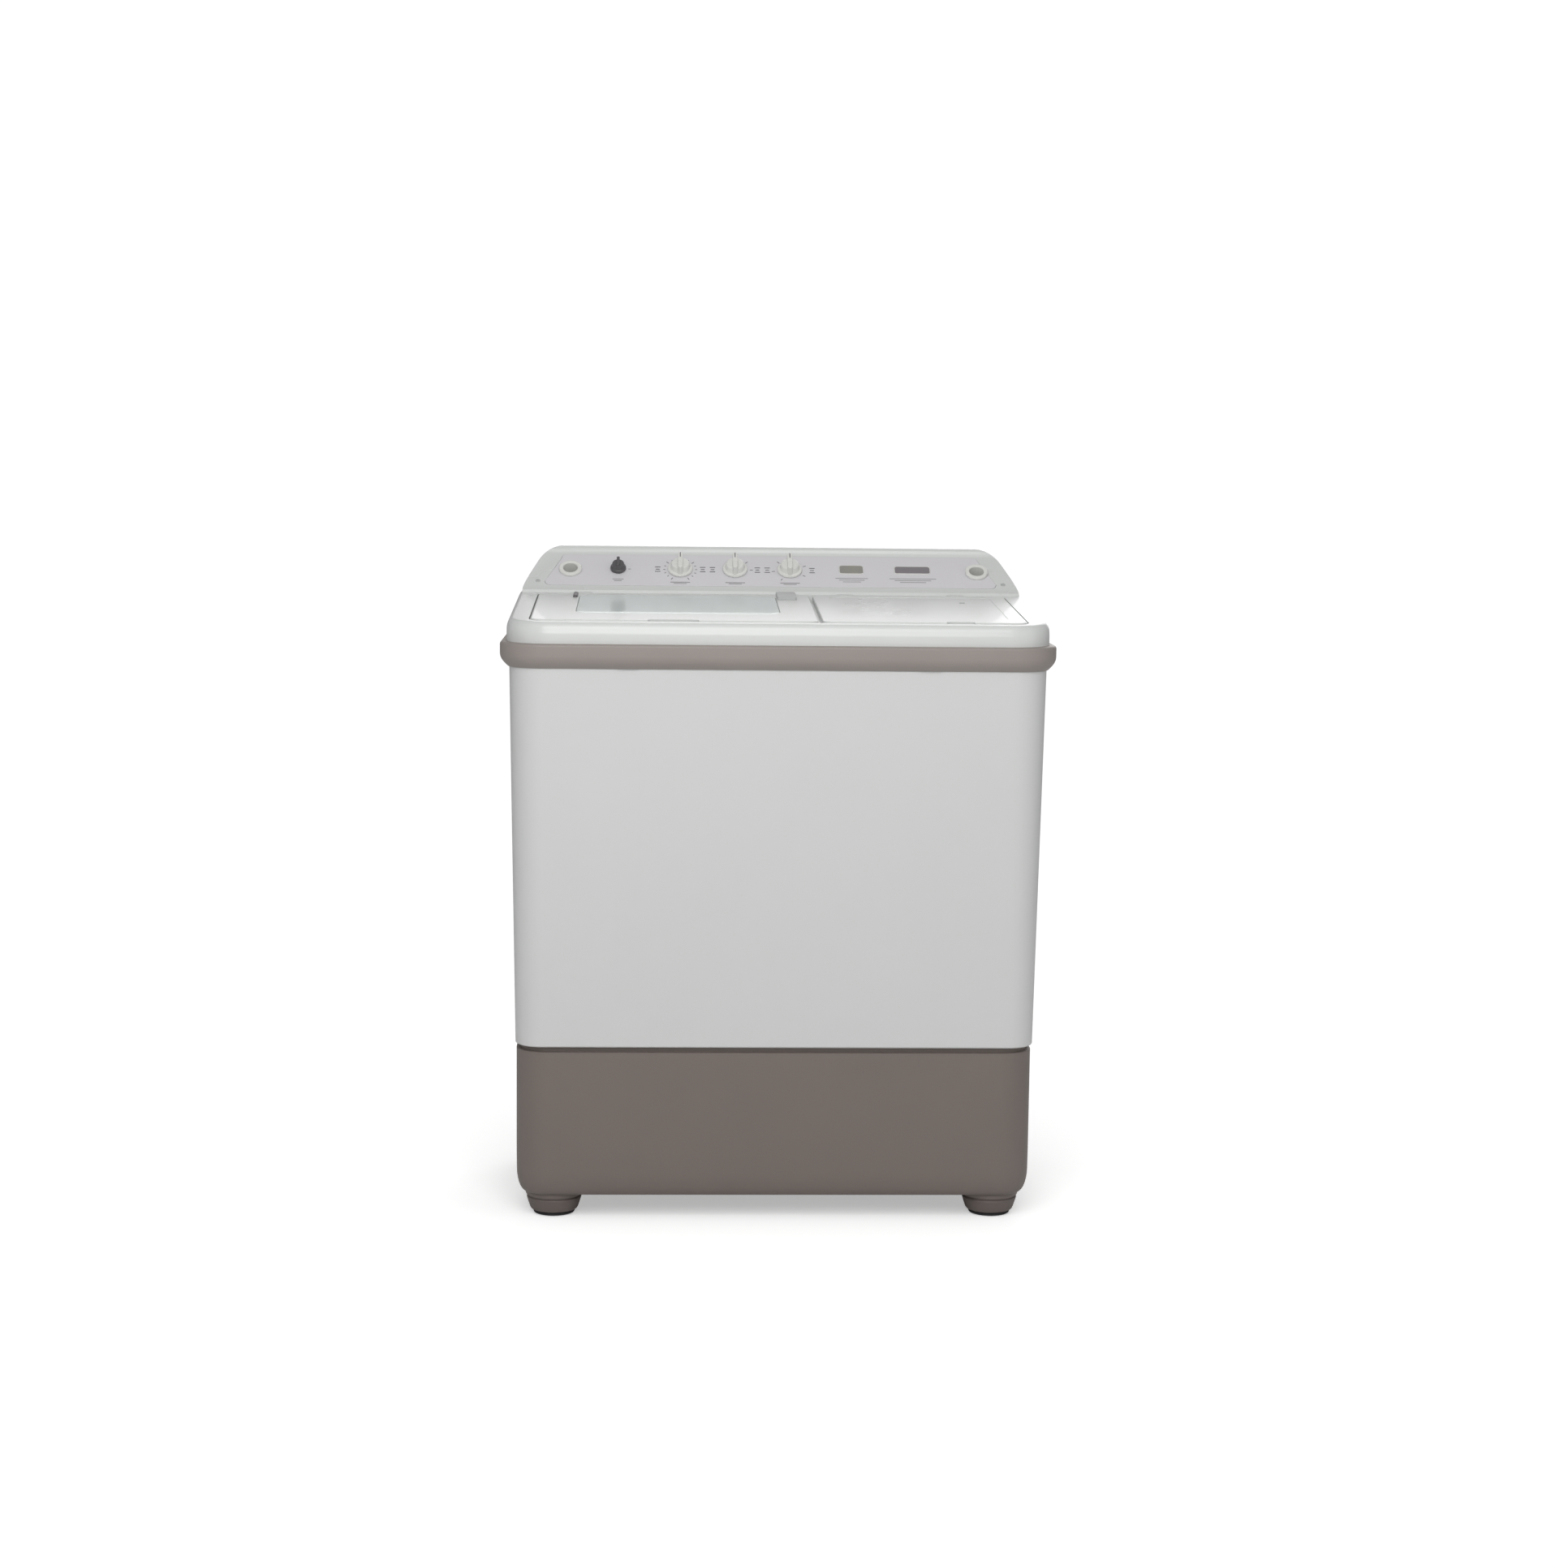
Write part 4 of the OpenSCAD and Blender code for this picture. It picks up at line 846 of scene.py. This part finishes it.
BODY_OF = {n: b for b, names in frame["record"]["behaviour"]["bodies"].items() for n in names}
for row in frame["record"]["subparts"]:
    if not frame["nodes"][row["node"]].hide_render:
        edge, steps = EDGE.get(row["node"], (0.0004, 1))
        refined(row["node"], BODY_OF[row["node"]], row["material_slot"], edge, steps)


# ---------------------------------------------------------------- studio

def make_studio():
    clear_selection()
    bpy.ops.mesh.primitive_plane_add(size=40, location=(0, 0, -0.0005))
    floor = bpy.context.object
    floor.name = "floor"
    pale = bpy.data.materials.new("floor_pale")
    pale.use_nodes = True
    bsdf = pale.node_tree.nodes["Principled BSDF"]
    bsdf.inputs["Base Color"].default_value = (0.95, 0.95, 0.95, 1)
    bsdf.inputs["Roughness"].default_value = 1.0
    bsdf.inputs["Specular IOR Level"].default_value = 0.0
    bsdf.inputs["Emission Color"].default_value = (1, 1, 1, 1)
    bsdf.inputs["Emission Strength"].default_value = 0.42
    t = pale.node_tree
    glow = node(t, "ShaderNodeEmission", Strength=1.05, Color=(1, 1, 1, 1))
    where = node(t, "ShaderNodeTexCoord")
    reach = node(t, "ShaderNodeVectorMath", operation="LENGTH")
    fade = node(t, "ShaderNodeMapRange", interpolation_type="SMOOTHSTEP")
    fade.inputs["From Min"].default_value = 0.42
    fade.inputs["From Max"].default_value = 1.15
    seen = node(t, "ShaderNodeLightPath")
    both = node(t, "ShaderNodeMath", operation="MULTIPLY")
    mix = node(t, "ShaderNodeMixShader")
    t.links.new(where.outputs["Object"], reach.inputs[0])
    t.links.new(reach.outputs["Value"], fade.inputs["Value"])
    t.links.new(fade.outputs["Result"], both.inputs[0])
    t.links.new(seen.outputs["Is Camera Ray"], both.inputs[1])
    t.links.new(both.outputs["Value"], mix.inputs["Fac"])
    t.links.new(bsdf.outputs[0], mix.inputs[1])
    t.links.new(glow.outputs[0], mix.inputs[2])
    bounce = node(t, "ShaderNodeBsdfDiffuse", Color=(0.80, 0.80, 0.80, 1))
    shown = node(t, "ShaderNodeMixShader")
    t.links.new(seen.outputs["Is Camera Ray"], shown.inputs["Fac"])
    t.links.new(bounce.outputs[0], shown.inputs[1])
    t.links.new(mix.outputs[0], shown.inputs[2])
    t.links.new(shown.outputs[0], t.nodes["Material Output"].inputs["Surface"])
    floor.data.materials.append(pale)
    world = bpy.data.worlds.new("studio")
    bpy.context.scene.world = world
    world.use_nodes = True
    t = world.node_tree
    ambient = t.nodes["Background"]
    ambient.inputs["Color"].default_value = (1.0, 1.0, 1.0, 1)
    ambient.inputs["Strength"].default_value = 0.32
    white = node(t, "ShaderNodeBackground", Strength=1.05, Color=(1, 1, 1, 1))
    ray = node(t, "ShaderNodeLightPath")
    pickers = node(t, "ShaderNodeMixShader")
    t.links.new(ray.outputs["Is Camera Ray"], pickers.inputs["Fac"])
    t.links.new(ambient.outputs[0], pickers.inputs[1])
    t.links.new(white.outputs[0], pickers.inputs[2])
    t.links.new(pickers.outputs[0], t.nodes["World Output"].inputs["Surface"])
    for name, place, aim, size, power in (
            ("key", (-0.2, -2.2, 1.85), (0, -0.2, 0.60), 1.6, 32),
            ("left", (-2.4, -1.6, 1.5), (0, 0, 0.5), 1.8, 5),
            ("right", (2.4, -1.6, 1.5), (0, 0, 0.5), 1.8, 7),
            ("back", (0.6, 2.8, 2.0), (0, 0.2, 0.6), 2.4, 32),
            ("top", (0, -0.2, 3.2), (0, 0, 0.8), 2.6, 4)):
        lamp = bpy.data.lights.new(name, "AREA")
        lamp.size = size
        lamp.energy = power
        o = bpy.data.objects.new(name, lamp)
        bpy.context.collection.objects.link(o)
        o.location = place
        o.rotation_euler = (Vector(aim) - Vector(place)).to_track_quat("-Z", "Y").to_euler()


def make_camera():
    cam = bpy.data.cameras.new("camera")
    cam.sensor_width = 36.0
    cam.sensor_fit = "AUTO"
    cam.lens = 65.27
    o = bpy.data.objects.new("camera", cam)
    bpy.context.collection.objects.link(o)
    yaw, pitch, roll = math.radians(2.32), math.radians(7.06), math.radians(0.65)
    ahead = Vector((math.sin(yaw) * math.cos(pitch), math.cos(yaw) * math.cos(pitch), -math.sin(pitch)))
    right = Vector((math.cos(yaw), -math.sin(yaw), 0))
    up = right.cross(ahead)
    side = right * math.cos(roll) + up * math.sin(roll)
    rise = up * math.cos(roll) - right * math.sin(roll)
    o.matrix_world = Matrix((
        (side.x, rise.x, -ahead.x, -0.163),
        (side.y, rise.y, -ahead.y, -4.194),
        (side.z, rise.z, -ahead.z, 1.131),
        (0, 0, 0, 1)))
    bpy.context.scene.camera = o


make_studio()
make_camera()
bpy.context.scene.view_settings.view_transform = "Standard"
